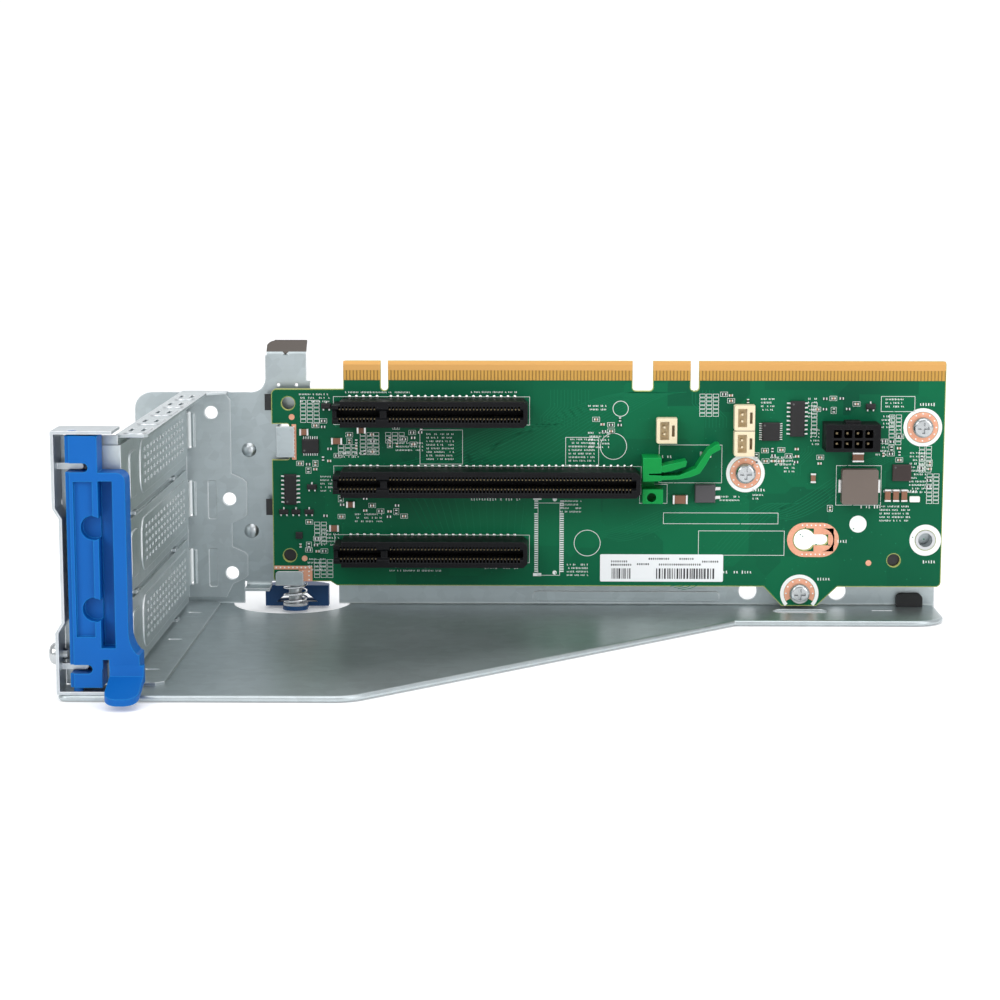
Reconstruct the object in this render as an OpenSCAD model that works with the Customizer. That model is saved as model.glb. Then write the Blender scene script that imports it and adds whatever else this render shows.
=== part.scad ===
// Riser cage bracket for a rack server: a folded steel cage that lies on its cover, a slot wall with
// three slot blanks, a blue card retainer, a half-turn spring latch and a riser board with three slots.
// X runs along the board from the slot wall, Y runs from the cage's open front to its back wall, Z is up.

/* [Sheet metal] */
// Thickness of the cage, slot wall and channel sheet
sheet = 0.8; // [0.6:0.1:0.9]
// Inner radius of a fold
fold_r = 0.6; // [0.4:0.1:0.9]
// Width of the closed hem under the base's edges
hem_w = 6; // [4:0.5:8]

/* [Cage base] */
// How far the base reaches outside the slot wall
base_left = 15; // [14.9:0.1:16]
// Distance from the slot wall to the base's far end
base_right = 220.4; // [216:0.5:230]
// Depth of the base in front of the back wall, at the slot wall
base_depth = 121; // [119:1:128]
// Depth of the base at its narrow end
narrow_depth = 24; // [22:1:34]
// Where the sloping edge leaves the front edge
slope_start = 57; // [50:1:70]
// Where the sloping edge ends
slope_end = 159.5; // [145:1:166]
// Radius of the far corner
corner_r = 9; // [6:1:14]

/* [Back wall] */
// Gap between the board's front face and the back wall
wall_gap = 6; // [6:0.1:6.4]
// Height of the back wall beside the board
wall_top = 64.6; // [62:0.5:68]
// Height of the back wall behind the board
wall_mid = 62; // [59:0.5:64]
// Height of the locating tab's fold
tab_top = 75.4; // [74:0.2:80]
// Width of the locating tab
tab_w = 12; // [9:0.5:13]
// Length of the tab's bent lip
lip_len = 4.4; // [3:0.2:6]
// Angle of the lip from upright
lip_angle = 50; // [30:5:60]
// Diameter of the wall's fixing holes
wall_hole_d = 3.9; // [3.2:0.1:4.2]

/* [Slot wall] */
// Room in front of the slot wall for the retainer and the blanks' tabs
retainer_room = 9; // [8.9:0.1:9.4]
// Top of the slot wall
slot_wall_top = 65; // [64.6:0.1:65.8]
// Width of a slot blank
blank_w = 18.4; // [17.6:0.1:18.8]
// Length of a slot blank's bent tab
blank_tab = 11.2; // [9:0.2:11.4]
// Height of a window in the slot wall
window_h = 12; // [10:0.5:13]
// Width of the contact flange along the slot wall's top
contact_flange = 7; // [6:0.5:9]

/* [Riser board] */
// Left edge of the board
board_left = 25.8; // [25.6:0.1:26.4]
// Length of the board
board_len = 195.4; // [193:0.2:200]
// Thickness of the board
board_t = 1.57; // [1.2:0.01:1.7]
// Bottom edge of the board
board_bottom = 8.2; // [7.8:0.1:8.8]
// Shoulder under the card edge
board_shoulder = 66.1; // [65.8:0.1:67]
// Height of the card edge above the shoulder
edge_h = 8.25; // [7:0.25:9]
// Spacing of the card edge's contacts
contact_pitch = 1; // [0.9:0.01:1]
// Spacing of the three slots
slot_pitch = 20.32; // [20:0.02:20.5]
// Height of the lowest slot's middle line
slot_z = 19.2; // [18.8:0.1:19.6]
// Left end of the slots
slot_x = 44.4; // [44:0.1:45]
// Length of the upper and lower slots
short_slot = 56; // [50:1:60]
// Length of the middle slot
long_slot = 88.4; // [80:0.2:88.6]
// Height of a slot's housing above the board
slot_depth = 11.25; // [9:0.25:12]
// Width of a slot's housing
slot_w = 7.5; // [7:0.1:8]

/* [Half-turn latch] */
// Distance of the latch's spindle from the slot wall
latch_x = 31.8; // [31.4:0.1:32]
// Diameter of the spindle
spindle_d = 4; // [3.6:0.1:4.1]
// Width of the knob's wing
wing_w = 18.8; // [16:0.2:19]
// Travel of the latch when it is pushed
latch_travel = 1.2; // [0.8:0.1:1.2]
// Wire of the latch's spring
spring_wire = 0.6; // [0.4:0.1:0.7]
// Outer diameter of the latch's spring
spring_d = 7.2; // [6.4:0.2:7.4]

/* [Card retainer] */
// Height of the retainer
retainer_top = 65.8; // [65:0.1:66]
// Thickness of the retainer, front to back
retainer_t = 7; // [6.6:0.1:7]
// Length of the thumb tab
thumb_len = 11; // [8:0.5:14]
// Running clearance of pivots and shafts, on the radius
running = 0.05; // [0.03:0.01:0.08]

/* [Hidden] */
$fn = 48;
steel = "#9aa4aa";
blue = "#1272d2";
gold = "#e0a640";
black = "#222326";
tin = "#d9dbdc";

// Clearances
seat_gap = 0.3;
gap = 0.2;

// Levels of the base
base_top = 2 * sheet;
bend_out = fold_r + sheet;
wall_y = wall_gap;
wall_back = wall_y + sheet;
front_y = wall_y - base_depth;
narrow_y = wall_y - narrow_depth;
board_right = board_left + board_len;
board_back = board_t;
edge_top = board_shoulder + edge_h;

// Offset that puts the row's origin under the middle of the whole assembly
side_head_h = 2.6;
thumb_reach = front_y + 0.7 - thumb_len;
wing_r = 12;
latch_y = board_t + (wall_gap - board_t) / 2;
centre_x = (max(board_right, base_right) - base_left - side_head_h) / 2;
centre_y = (thumb_reach + latch_y + wing_r) / 2;

module in_row() translate([-centre_x, -centre_y, 0]) children();

// Points along an arc, for round stretches of an outline
function arc(x, y, r, from, to, n = 6) =
    [for (i = [0:n]) let (a = from + (to - from) * i / n) [x + r * cos(a), y + r * sin(a)]];

// A rectangle with round corners
function round_box(x0, x1, y0, y1, r) = concat(
    arc(x1 - r, y0 + r, r, -90, 0), arc(x1 - r, y1 - r, r, 0, 90),
    arc(x0 + r, y1 - r, r, 90, 180), arc(x0 + r, y0 + r, r, 180, 270));

// Drawing planes: x and y of a sketch become X and Z, and its thickness runs towards -Y
module facing(y, t) translate([0, y, 0]) rotate([90, 0, 0]) linear_extrude(t) children();
module hole_y(x, z, d, y0, y1) translate([x, y1, z]) rotate([90, 0, 0]) cylinder(d = d, h = y1 - y0);
module on_board(x, z) translate([x, 0, z]) rotate([90, 0, 0]) children();
module block(x0, x1, y0, y1, z0, z1) translate([x0, y0, z0]) cube([x1 - x0, y1 - y0, z1 - z0]);

// A strip folded through a quarter turn, drawn as a section with its two straight legs
module fold_x(x0, x1, section) translate([x0, 0, 0]) rotate([90, 0, 90]) linear_extrude(x1 - x0) polygon(section);

// ---------------------------------------------------------------- cage frame
hem_r = sheet;
slope_angle = atan((base_depth - narrow_depth) / (slope_end - slope_start));
knee_r = 10;
front_corner_r = 2.4;
cut_r = 17.3;
cut_x = latch_x - 1.3;
cut_y = wall_y + 2;
opening = [cut_x - 13.9, cut_x + 14];
opening_top = 8.3;
knee_back = knee_r * tan(slope_angle / 2);
slope_dir = [cos(slope_angle), sin(slope_angle)];
panel = [
    [-base_left + hem_r, wall_y - fold_r], [-base_left + hem_r, front_y + hem_r],
    [slope_start, front_y + hem_r], [slope_end, narrow_y + hem_r]];
far = [base_right - hem_r, narrow_y + hem_r];

module hem(from, to) {
    run = to - from;
    translate([from[0], from[1], 0]) rotate([0, 0, atan2(run[1], run[0])]) rotate([90, 0, 90])
        linear_extrude(norm(run)) polygon(concat(arc(0, hem_r, hem_r, 90, 270),
            [[hem_w, 0], [hem_w, base_top]]));
}

module hem_corner(x, y, r, from, turn) {
    inner = min(hem_w, r);
    translate([x, y, 0]) rotate([0, 0, from]) rotate_extrude(angle = turn)
        polygon(concat([[r - inner, 0]], arc(r, hem_r, hem_r, -90, 90), [[r - inner, base_top]]));
}

module base() {
    knee = [slope_start - knee_back, front_y + hem_r];
    knee_end = [slope_start, front_y + hem_r] + knee_back * slope_dir;
    far_r = corner_r - hem_r;
    near_r = front_corner_r - hem_r;
    near = panel[1];
    translate([0, 0, sheet]) linear_extrude(sheet) polygon(concat(
        [panel[0]], arc(near[0] + near_r, near[1] + near_r, near_r, 180, 270),
        arc(knee[0], knee[1] + knee_r, knee_r, -90, slope_angle - 90), [panel[3]],
        arc(far[0] - far_r, far[1] + far_r, far_r, -90, 0), [[far[0], wall_y - fold_r]]));
    hem(panel[0], near + [0, near_r]);
    hem_corner(near[0] + near_r, near[1] + near_r, near_r, 180, 90);
    hem(near + [near_r, 0], knee);
    hem_corner(knee[0], knee[1] + knee_r, knee_r, -90, slope_angle);
    hem(knee_end, panel[3]);
    hem(panel[3], far - [far_r, 0]);
    hem_corner(far[0] - far_r, far[1] + far_r, far_r, -90, 90);
    hem(far + [0, far_r], [far[0], wall_y - fold_r]);
    // Edge turned down round the finger cut
    intersection() {
        translate([cut_x, cut_y, 0.3]) cylinder(r = cut_r + sheet, h = base_top - 0.4);
        block(-base_left, base_right, front_y, wall_y - bend_out, 0, base_top);
    }
}

tab_x = [latch_x - 8.3, latch_x - 8.3 + tab_w];
tab_fillet = 4;
lip_r = 1;
module back_wall() {
    bend_z = base_top + fold_r;
    fold_x(-base_left, base_right, concat(
        arc(wall_y - fold_r, bend_z, bend_out, -90, 0), arc(wall_y - fold_r, bend_z, fold_r, 0, -90)));
    facing(wall_back, sheet) polygon(concat(
        [[-base_left, bend_z]], arc(-base_left + 5, wall_top - 5, 5, 180, 90),
        arc(tab_x[0] - tab_fillet, wall_top + tab_fillet, tab_fillet, -90, 0), [[tab_x[0], tab_top],
        [tab_x[1], tab_top], [tab_x[1], wall_top + 3.4]],
        arc(tab_x[1] + 5, wall_top + 2, 4, 160, 250), [[tab_x[1] + 5.5, wall_mid]],
        arc(base_right - 3, wall_mid - 3, 3, 90, 0), [[base_right, bend_z]]));
    lip_c = [wall_y + sheet + lip_r, tab_top];
    lip_dir = [sin(lip_angle), cos(lip_angle)];
    outer_end = lip_c + (lip_r + sheet) * [-lip_dir[1], lip_dir[0]];
    fold_x(tab_x[0] + 0.4, tab_x[1], concat(
        [[wall_y, tab_top - 1]], arc(lip_c[0], lip_c[1], lip_r + sheet, 180, 180 - lip_angle),
        [outer_end + lip_len * lip_dir, outer_end + lip_len * lip_dir + sheet * [lip_dir[1], -lip_dir[0]]],
        arc(lip_c[0], lip_c[1], lip_r, 180 - lip_angle, 180), [[wall_back, tab_top - 1]]));
    translate([(tab_x[0] + tab_x[1]) / 2, wall_y + 0.2, tab_top - 0.4]) rotate([lip_angle / 2 - 90, 0, 0])
        cylinder(d1 = 2.4, d2 = 0.6, h = 0.9);
}

// Hooks that stand out of the back wall and hold the board by its edge
hook_front = -seat_gap - sheet;
hook_1 = [27.2, 32.4, 46.2, 55.2];
hook_2 = [latch_x - 5.3, latch_x + 2.8, opening_top, 12.5];
bridge_top = opening_top + sheet;
flap_r = 1.2;
module hooks() {
    block(hook_1[0], hook_1[0] + sheet, hook_front, wall_back, hook_1[2], hook_1[3]);
    facing(-seat_gap, sheet) polygon(round_box(hook_1[0], hook_1[1], hook_1[2], hook_1[3], 0.7));
    block(hook_2[0], hook_2[1], hook_front + 0.2, wall_back, hook_2[2], bridge_top);
    facing(-seat_gap, sheet) polygon(concat([[hook_2[0], hook_2[2]], [hook_2[1], hook_2[2]]],
        arc(hook_2[1] - 1, hook_2[3] - 1, 1, 0, 90), arc(hook_2[0] + 1, hook_2[3] - 1, 1, 90, 180)));
    fold_x(opening[0] + 0.6, opening[0] + 8, concat(
        arc(wall_y - flap_r, opening_top + 0.1, flap_r + sheet, 0, -90), [
        [hook_front + 1, opening_top + 0.1 - flap_r - sheet], [hook_front + 1, opening_top + 0.1 - flap_r]],
        arc(wall_y - flap_r, opening_top + 0.1, flap_r, -90, 0)));
}

flange_holes = [[7.5, 58.6], [12.5, 33], [13, 10.9]];
low_hole_d = 5.3;
low_holes = [board_right - 55.8, board_right - 29.5];
rivets = [[18.4, 47.5], [18.8, 23.4]];
rivet_d = 3.5;
foot_at = board_right - 41.2;
screw_places = [[foot_at, 6.2], [slot_x + long_slot + 30.9, 41.7], [board_right - 6.4, 55.2]];
standoff_shank_d = 4.6;
module cage_frame() {
    color(steel) in_row() difference() {
        union() {
            difference() {
                union() {
                    base();
                    back_wall();
                    facing(wall_y + 0.1, 0.4) polygon(round_box(102, 157, 2.6, 5.6, 1.2));
                }
                // Finger opening through the fold and the half-round cut in the base
                block(opening[0], opening[1], wall_y - bend_out, wall_back + 1, -1, opening_top);
                translate([cut_x, cut_y, -1]) cylinder(r = cut_r, h = base_top + 1.1);
            }
            hooks();
        }
        for (h = flange_holes) hole_y(h[0], h[1], wall_hole_d, wall_y - 1, wall_back + 1);
        for (r = rivets) hole_y(r[0], r[1], rivet_d, wall_y - 1, wall_back + 1);
        for (s = screw_places) hole_y(s[0], s[1], standoff_shank_d, wall_y - 1, wall_back + 1);
        for (z = slot_heights) tongue_slot(z);
        for (x = low_holes) hole_y(x, 5.8, low_hole_d, wall_y - 1, wall_back + 1);
        for (x = [tab_x[0] + 3.8, tab_x[0] + 9.1]) hole_y(x, board_shoulder + 0.7, 0.9, wall_y - 1, wall_back + 1);
        facing(wall_back + 1, sheet + 2) polygon(round_box(keyhole[0] - 9.2, keyhole[0] + 12.8, keyhole[1] - 8.6,
            keyhole[1] + 8.4, 3));
        facing(wall_back + 1, sheet + 2) polygon(
            round_box(hook_1[0] + sheet, hook_1[1] + 0.6, hook_1[2] - 0.4, hook_1[3] + 0.4, 0.4));
        translate([foot_at, wall_y - 9.5, sheet - 1]) linear_extrude(sheet + 2)
            polygon(round_box(-8, 8, -3, 3, 2.9));
        translate([base_right - 16.4, wall_y - 8.4, base_top - 0.3]) linear_extrude(1)
            polygon(round_box(-3, 3, -0.4, 0.4, 0.3));
        translate([latch_x, latch_y, opening_top - 1]) cylinder(r = neck_r + running, h = sheet + 2);
        difference() {
            block(tab_x[0] - 1, tab_x[0] + 2.4, wall_back + 0.6, wall_back + 9, tab_top + lip_len * 0.35,
                tab_top + lip_len * 2);
            translate([tab_x[0] + 2.4, wall_back + 0.5, tab_top + lip_len * 0.35]) rotate([-90, 0, 0])
                cylinder(r = 2.4, h = 9);
        }
    }
}

// ---------------------------------------------------------------- slot wall and blanks
blank_drop = 6.4;
slot_heights = [for (i = [0:2]) slot_z - blank_drop + i * slot_pitch];
tongue_half = 5.2;
blank_t = 0.8;
tongue_room = 0.7;
module tongue_slot(z) block(-gap, blank_t + tongue_room, wall_y - sheet - 1, wall_back + 1,
    z - tongue_half - gap, z + tongue_half + gap);
seat_y = front_y + retainer_room;
seat_left = -base_left + sheet;
flange_top = slot_wall_top - 0.6;
flange_bands = [[9.2, 17.2], [27.4, 39]];
module slot_wall() {
    foot_w = 9.7;
    waist = 13.2;
    wide = 17.7;
    wall_foot = base_top;
    first_boss = -14;
    boss_pitch = (first_boss - seat_y - 9.6) / 4;
    color(steel) in_row() difference() {
        union() {
            block(-sheet, 0, seat_y, wall_y - sheet, wall_foot + sheet, slot_wall_top - sheet);
            // Foot on the base
            translate([0, 0, wall_foot]) linear_extrude(sheet) polygon([
                [-sheet, wall_y - bend_out - 0.2], [foot_w - 1.5, wall_y - bend_out - 0.2],
                [foot_w, wall_y - bend_out - 1.6], [foot_w, seat_y + 4], [foot_w - 2, seat_y + 2],
                [-sheet, seat_y + 2]]);
            // Flange on the back wall, waisted between its fixing holes
            facing(wall_y, sheet) polygon(concat([[-sheet, wall_foot + 2], [waist - 2, wall_foot + 2]],
                [for (b = flange_bands, p = [[waist, b[0] - 1.6], [wide - 1, b[0]], [wide, b[0] + 1],
                    [wide, b[1] - 1], [wide - 1, b[1]], [waist, b[1] + 1.6]]) p],
                [[waist, flange_top - 2], [waist - 1.6, flange_top], [-sheet, flange_top]]));
            // Contact flange along the top
            translate([0, 0, slot_wall_top - sheet]) linear_extrude(sheet) polygon([
                [-sheet, wall_y - gap], [contact_flange + 5.6, wall_y - gap], [contact_flange + 5.6, wall_y - 3.4],
                [contact_flange, wall_y - 7], [contact_flange, seat_y + 3.5], [contact_flange - 1, seat_y + 2],
                [-sheet, seat_y + 2]]);
            // Seat for the blanks' tabs, turned outwards at the front
            block(seat_left, 0, seat_y, seat_y + sheet, wall_foot + sheet + 0.2, slot_wall_top);
            // Round embosses on the contact flange
            for (i = [0:4]) translate([contact_flange / 2, first_boss - i * boss_pitch, slot_wall_top - 0.1])
                linear_extrude(0.4) polygon(round_box(-contact_flange / 2 + 0.5, contact_flange / 2 - 0.6, -7.6, 7.6, 2.6));
            // Locating tongues between the blanks
            for (i = [0:3], y = [-24, seat_y + 18]) block(-0.1, sheet * 1.5, y - 2, y + 2,
                slot_heights[0] - slot_pitch / 2 + i * slot_pitch - 0.5,
                slot_heights[0] - slot_pitch / 2 + i * slot_pitch + 0.4);
        }
        for (z = slot_heights) translate([-sheet - 1, 0, 0]) rotate([90, 0, 90]) linear_extrude(sheet + 2)
            polygon(round_box(seat_y + 8, -7, z - window_h / 2, z + window_h / 2, 1.5));
        for (h = flange_holes) hole_y(h[0], h[1], wall_hole_d, wall_y - 2, wall_y + 1);
        // Slots in the contact flange
        for (i = [0:4], x = [contact_flange * 0.27, contact_flange * 0.7])
            translate([x, first_boss - i * boss_pitch, slot_wall_top - 2]) linear_extrude(4)
                polygon(round_box(-0.55, 0.55, -3.4, 3.4, 0.5));
        translate([contact_flange + 2.6, wall_y - 2.4, slot_wall_top - 2]) linear_extrude(4)
            polygon(round_box(-2, 2, -0.5, 0.5, 0.45));
        // Slots that take the blanks' tongues
        for (z = slot_heights) tongue_slot(z);
        // Dimples pressed through the foot
        for (t = [0, 0.5, 1]) translate([4.3, -12.5 + t * (seat_y + 30.2), wall_foot + sheet - 0.3]) linear_extrude(1)
            polygon(round_box(-1.9, 1.9, -0.7, 0.7, 0.65));
        // Pressed fields beside the two lower blanks
        for (z = [12.5, 32.8]) facing(wall_y - sheet + 0.25, 1) polygon(round_box(6.2, 8.6, z - 5.7, z + 5.7, 0.5));
    }
    // Rolled edges beside the blanks' tongues
    color(steel) in_row() for (z = slot_heights) translate([2.2, wall_y - sheet, z - 5]) cylinder(r = 0.45, h = 10);
}

// Three slot blanks: a perforated strip with a narrow tongue at the back and a bent tab at the front
tongue_len = 5.2;
module slot_blank(i) {
    z = slot_heights[i];
    half = blank_w / 2;
    panel_from = -2;
    panel_to = seat_y + 26;
    slit_pitch = 5;
    slits = floor((panel_from - panel_to - 8) / slit_pitch);
    color("#a4adb2") in_row() difference() {
        union() {
            rotate([90, 0, 90]) linear_extrude(blank_t) polygon([
                [seat_y - blank_t, z - half], [-1.5, z - half], [2, z - tongue_half],
                [wall_back + tongue_len - 2, z - tongue_half], [wall_back + tongue_len, z - tongue_half + 2],
                [wall_back + tongue_len, z + tongue_half - 2], [wall_back + tongue_len - 2, z + tongue_half],
                [2, z + tongue_half], [-1.5, z + half], [seat_y - blank_t, z + half]]);
            // Tab that rests on the seat
            facing(seat_y, blank_t) polygon(concat(
                arc(-blank_tab + 1.5, z + half - 1.5, 1.5, 90, 180), [[-blank_tab, z + 2.6]],
                arc(-blank_tab + 1.6, z, 2.2, 90, -90), [[-blank_tab, z - 2.6]],
                arc(-blank_tab + 1.5, z - half + 1.5, 1.5, 180, 270), [[blank_t, z - half], [blank_t, z + half]]));
            // Raised field round the perforations and the short stiffening bead
            translate([blank_t - 0.1, 0, 0]) rotate([90, 0, 90]) linear_extrude(0.4)
                polygon(round_box(panel_to, panel_from, z - half + 2.2, z + half - 2.2, 4.5));
            translate([blank_t - 0.1, 0, 0]) rotate([90, 0, 90]) linear_extrude(0.5)
                polygon(round_box(panel_to - 16, panel_to - 6, z - 5.9, z + 5.9, 2));
        }
        // Vent slits through the field
        for (row = [-2:2]) translate([-1, 0, 0]) rotate([90, 0, 90]) linear_extrude(3) union()
            for (k = [0:slits - 1]) translate([panel_from - 7 - k * slit_pitch, z + row * 2.1])
                square([2.8, 1], center = true);
    }
}
module slot_blank_1() slot_blank(0);
module slot_blank_2() slot_blank(1);
module slot_blank_3() slot_blank(2);

// ---------------------------------------------------------------- channel round the retainer
channel_left = -base_left;
joggle = 1.6;
channel_front = front_y + 0.5;
channel_back = seat_y + 4;
channel_top = slot_wall_top + 1.2;
pivot = [-base_left + 5.1, front_y + 2.6];
pivot_r = 1.2;
tongue_z = [8, 58];
side_screw_at = [front_y + 6.4, 10.8];
screw_r = 1.45;
module latch_channel() {
    wall = [[0, base_top], [0, 17], [joggle, 19.6], [joggle, 45.4], [0, 48], [0, channel_top]];
    inner = [for (i = [len(wall) - 1:-1:0]) wall[i] + [sheet, 0]];
    color(steel) in_row() difference() {
        union() {
            translate([channel_left, 0, 0]) facing(seat_y - gap, seat_y - gap - channel_front)
                polygon(concat(wall, inner));
            block(channel_left, 0, channel_front, channel_back - 1, channel_top, channel_top + sheet);
            block(channel_left, channel_left + sheet, seat_y - gap - 1, channel_back, 49, channel_top + 0.1);
            block(channel_left, -sheet - gap, channel_front, seat_y - gap, base_top, base_top + sheet);
            // Tongues that reach into the retainer's windows
            for (z = tongue_z) facing(pivot[1] + 2.6, sheet) polygon(concat(
                [[channel_left + 0.1, z - 0.8]], arc(pivot[0] + 1.5, z, 0.8, -90, 90),
                [[channel_left + 0.1, z + 0.8]]));
        }
        translate([pivot[0], pivot[1], base_top - 1]) cylinder(r = pivot_r + running, h = sheet + 2);
        translate([pivot[0], pivot[1], channel_top - 1]) cylinder(r = pivot_r + running, h = sheet + 2);
        translate([channel_left - 1, side_screw_at[0], side_screw_at[1]]) rotate([0, 90, 0])
            cylinder(r = screw_r + running, h = sheet + 2);
    }
}

// Cross-recessed pan head, drawn with its seat on z = 0 and its shank below
module pan_screw(head_r, head_h, shank_r, shank_l) {
    difference() {
        union() {
            rotate_extrude() polygon(concat([[0, 0], [head_r, 0]],
                arc(head_r - head_h * 0.6, head_h * 0.4, head_h * 0.6, 0, 80, 4), [[0, head_h]]));
            translate([0, 0, -shank_l]) cylinder(r = shank_r, h = shank_l);
        }
        for (a = [0, 90]) rotate([0, 0, a]) translate([-head_r * 0.55, -head_r * 0.14, head_h * 0.35])
            cube([head_r * 1.1, head_r * 0.28, head_h]);
    }
}

module side_screw() color(tin) in_row() translate([channel_left, side_screw_at[0], side_screw_at[1]])
    rotate([0, -90, 0]) pan_screw(2.8, side_head_h, screw_r, 2);

module wall_rivets() color(tin) in_row() for (r = rivets) translate([r[0], wall_y, r[1]]) rotate([90, 0, 0]) {
    rotate_extrude() polygon(concat([[0, 0], [rivet_d / 2 + 0.4, 0]], arc(0, -1.6, 2.6, 50, 90, 4)));
    translate([0, 0, -sheet]) cylinder(d = rivet_d - 2 * running, h = sheet + 0.1);
}

module corner_bumper() color(black) in_row() {
    low = base_top + fold_r + 0.1;
    facing(wall_y, 2.2) polygon(concat([[209, low], [216.7, low]], arc(215.2, 3.9, 1.5, 0, 90),
        arc(210.5, 3.9, 1.5, 90, 180)));
    facing(wall_y - fold_r - 0.1, 2.1 - fold_r) square_from(209, 216.7, base_top + 0.05, low + 0.1);
}

// ---------------------------------------------------------------- blue card retainer
retainer_front = front_y + 0.7;
retainer_back = retainer_front + retainer_t;
module retainer_latch() {
    rib = [pivot[0] + 4.8, pivot[0] + 6.2];
    left = pivot[0] - 1.7;
    right = pivot[0] + 12.9;
    foot = 3.4;
    shelf = 56.8;
    color(blue) in_row() difference() {
        union() {
            // Left column and rib
            facing(retainer_back, retainer_t - 0.6) square_from(left, rib[1], foot, retainer_top);
            facing(retainer_back, retainer_t) polygon(concat([[rib[0], foot]], [[rib[1], foot],
                [rib[1], retainer_top - 0.8], [rib[1] - 0.6, retainer_top]], [[rib[0], retainer_top]]));
            facing(retainer_back, retainer_t) square_from(left + 1, rib[0] + 0.1, foot, retainer_top);
            // Right column with its flared foot
            facing(retainer_back, retainer_t) polygon(concat([[rib[0], 8], [right + 2.6, 8]],
                [[right + 2.6, 11.5]], arc(right + 8, 17, 8, 220, 180, 5), arc(right - 2.2, shelf - 2.2, 2.2, 0, 90),
                [[rib[0], shelf]]));
            // Thumb tab
            thumb_tab(right);
            // Pivot studs
            translate([pivot[0], pivot[1], base_top + 0.2]) cylinder(r = pivot_r, h = foot);
            translate([pivot[0], pivot[1], retainer_top - 1]) cylinder(r = pivot_r,
                h = channel_top + sheet - 0.1 - retainer_top + 1);
        }
        // Recessed field of the left column with two round holes
        facing(retainer_front + 1.2, 3) square_from(left + 1.9, rib[0], 16.1, 54.6);
        for (z = [22.8, 43.1]) hole_y(rib[0] - 0.2, z, 6, retainer_front - 1, retainer_front + 4);
        // Deep slot of the right column
        facing(retainer_front + 4.6, 6) square_from(rib[1], right - 3.2, 13.3, 54.7);
        facing(retainer_back + 1, 10) square_from(rib[1] + 0.2, rib[1] + 1.8, 5, 10.4);
        // Windows for the channel's tongues
        for (z = tongue_z) facing(retainer_back + 1, retainer_t + 2) polygon(concat(
            [[left - 1, z - 1.1]], arc(pivot[0] + 2.8, z, 1.1, -90, 90), [[left - 1, z + 1.1]]));
        // Hollow back
        facing(retainer_back + 1, retainer_t - 3.4) square_from(left + 1.3, rib[0] - 0.6, foot + 8, 20);
        facing(retainer_back + 1, retainer_t - 3.4) square_from(left + 1.3, rib[0] - 0.6, 25.5, 40);
        facing(retainer_back + 1, retainer_t - 3.4) square_from(left + 1.3, rib[0] - 0.6, 46, 55.4);
    }
}
module square_from(x0, x1, z0, z1) translate([x0, z0]) square([x1 - x0, z1 - z0]);

module thumb_tab(right) {
    tab_left = right - 4.8;
    tab_right = right + 3.6;
    drop = 3.2;
    r = 3.4;
    tip = retainer_front - thumb_len;
    intersection() {
        translate([0, 0, -5]) linear_extrude(20) polygon(concat(
            [[tab_left, retainer_front + 1.6]], arc(tab_left + r, tip + r, r, 180, 270),
            arc(tab_right - r, tip + r, r, 270, 360), [[tab_right, retainer_front + 1.6]]));
        fold_x(tab_left - 1, tab_right + 1, [
            [retainer_front + 1.6, 9], [retainer_front + 1.6, 4.6], [retainer_front, 4.6],
            [tip, 6.2 - drop - 1.7], [tip, 6.2 - drop], [retainer_front - 0.6, 6.4], [retainer_front, 9]]);
    }
}

// ---------------------------------------------------------------- half-turn latch
hub_low = 0.5;
collar_low = base_top + 0.1;
collar_high = 2.5;
wing_top = opening_top - latch_travel - 0.4;
neck_r = 1.5;
wing_near = spring_d / 2 + 0.7;
module latch_knob() {
    bore_r = spindle_d / 2 + running;
    color("#0e3f78") in_row() translate([latch_x, latch_y, 0]) difference() {
        union() {
            translate([0, 0, hub_low]) linear_extrude(wing_top - hub_low) polygon(concat(
                [[-wing_w / 2, wing_near], [wing_w / 2, wing_near]],
                arc(0, 0, wing_r, acos(wing_w / 2 / wing_r), 180 - acos(wing_w / 2 / wing_r), 12)));
            translate([0, 0, hub_low]) linear_extrude(collar_low - hub_low) polygon(concat(
                [[-3.4, wing_near + 1]], arc(0, 0, 3.9, 200, 340, 12), [[3.4, wing_near + 1]]));
        }
        translate([0, 0, hub_low - 1]) cylinder(r = bore_r, h = collar_low + 2);
        // Arched tunnel under the wing
        facing(wing_r + 1, wing_r - wing_near + 3) polygon([[-6.2, collar_low], [-3, 4.4], [3, 4.4], [6.2, collar_low]]);
        // Hollow of the wing, open downwards
        translate([0, 0, hub_low - 1]) linear_extrude(wing_top - hub_low - 0.6) polygon(concat(
            [[-wing_w / 2 + 1.4, wing_near + 2.6], [wing_w / 2 - 1.4, wing_near + 2.6]],
            arc(0, 0, wing_r - 1.4, acos((wing_w / 2 - 1.4) / (wing_r - 1.4)),
                180 - acos((wing_w / 2 - 1.4) / (wing_r - 1.4)), 12)));
    }
}

module latch_spindle() color("#7d868a") in_row() translate([latch_x, latch_y, 0]) {
    translate([0, 0, hub_low]) cylinder(d = spindle_d, h = opening_top - latch_travel - 0.2 - hub_low);
    translate([0, 0, 4]) cylinder(r = neck_r, h = bridge_top + latch_travel);
    translate([0, 0, bridge_top + 0.1]) cylinder(r = latch_y - board_back - 0.1, h = 1.2);
}

module latch_collar() color(steel) in_row() translate([latch_x, latch_y, collar_low]) difference() {
    cylinder(r = spring_d / 2 + 0.05, h = collar_high - collar_low);
    translate([0, 0, -1]) cylinder(r = spindle_d / 2 + running, h = 4);
}

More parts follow.
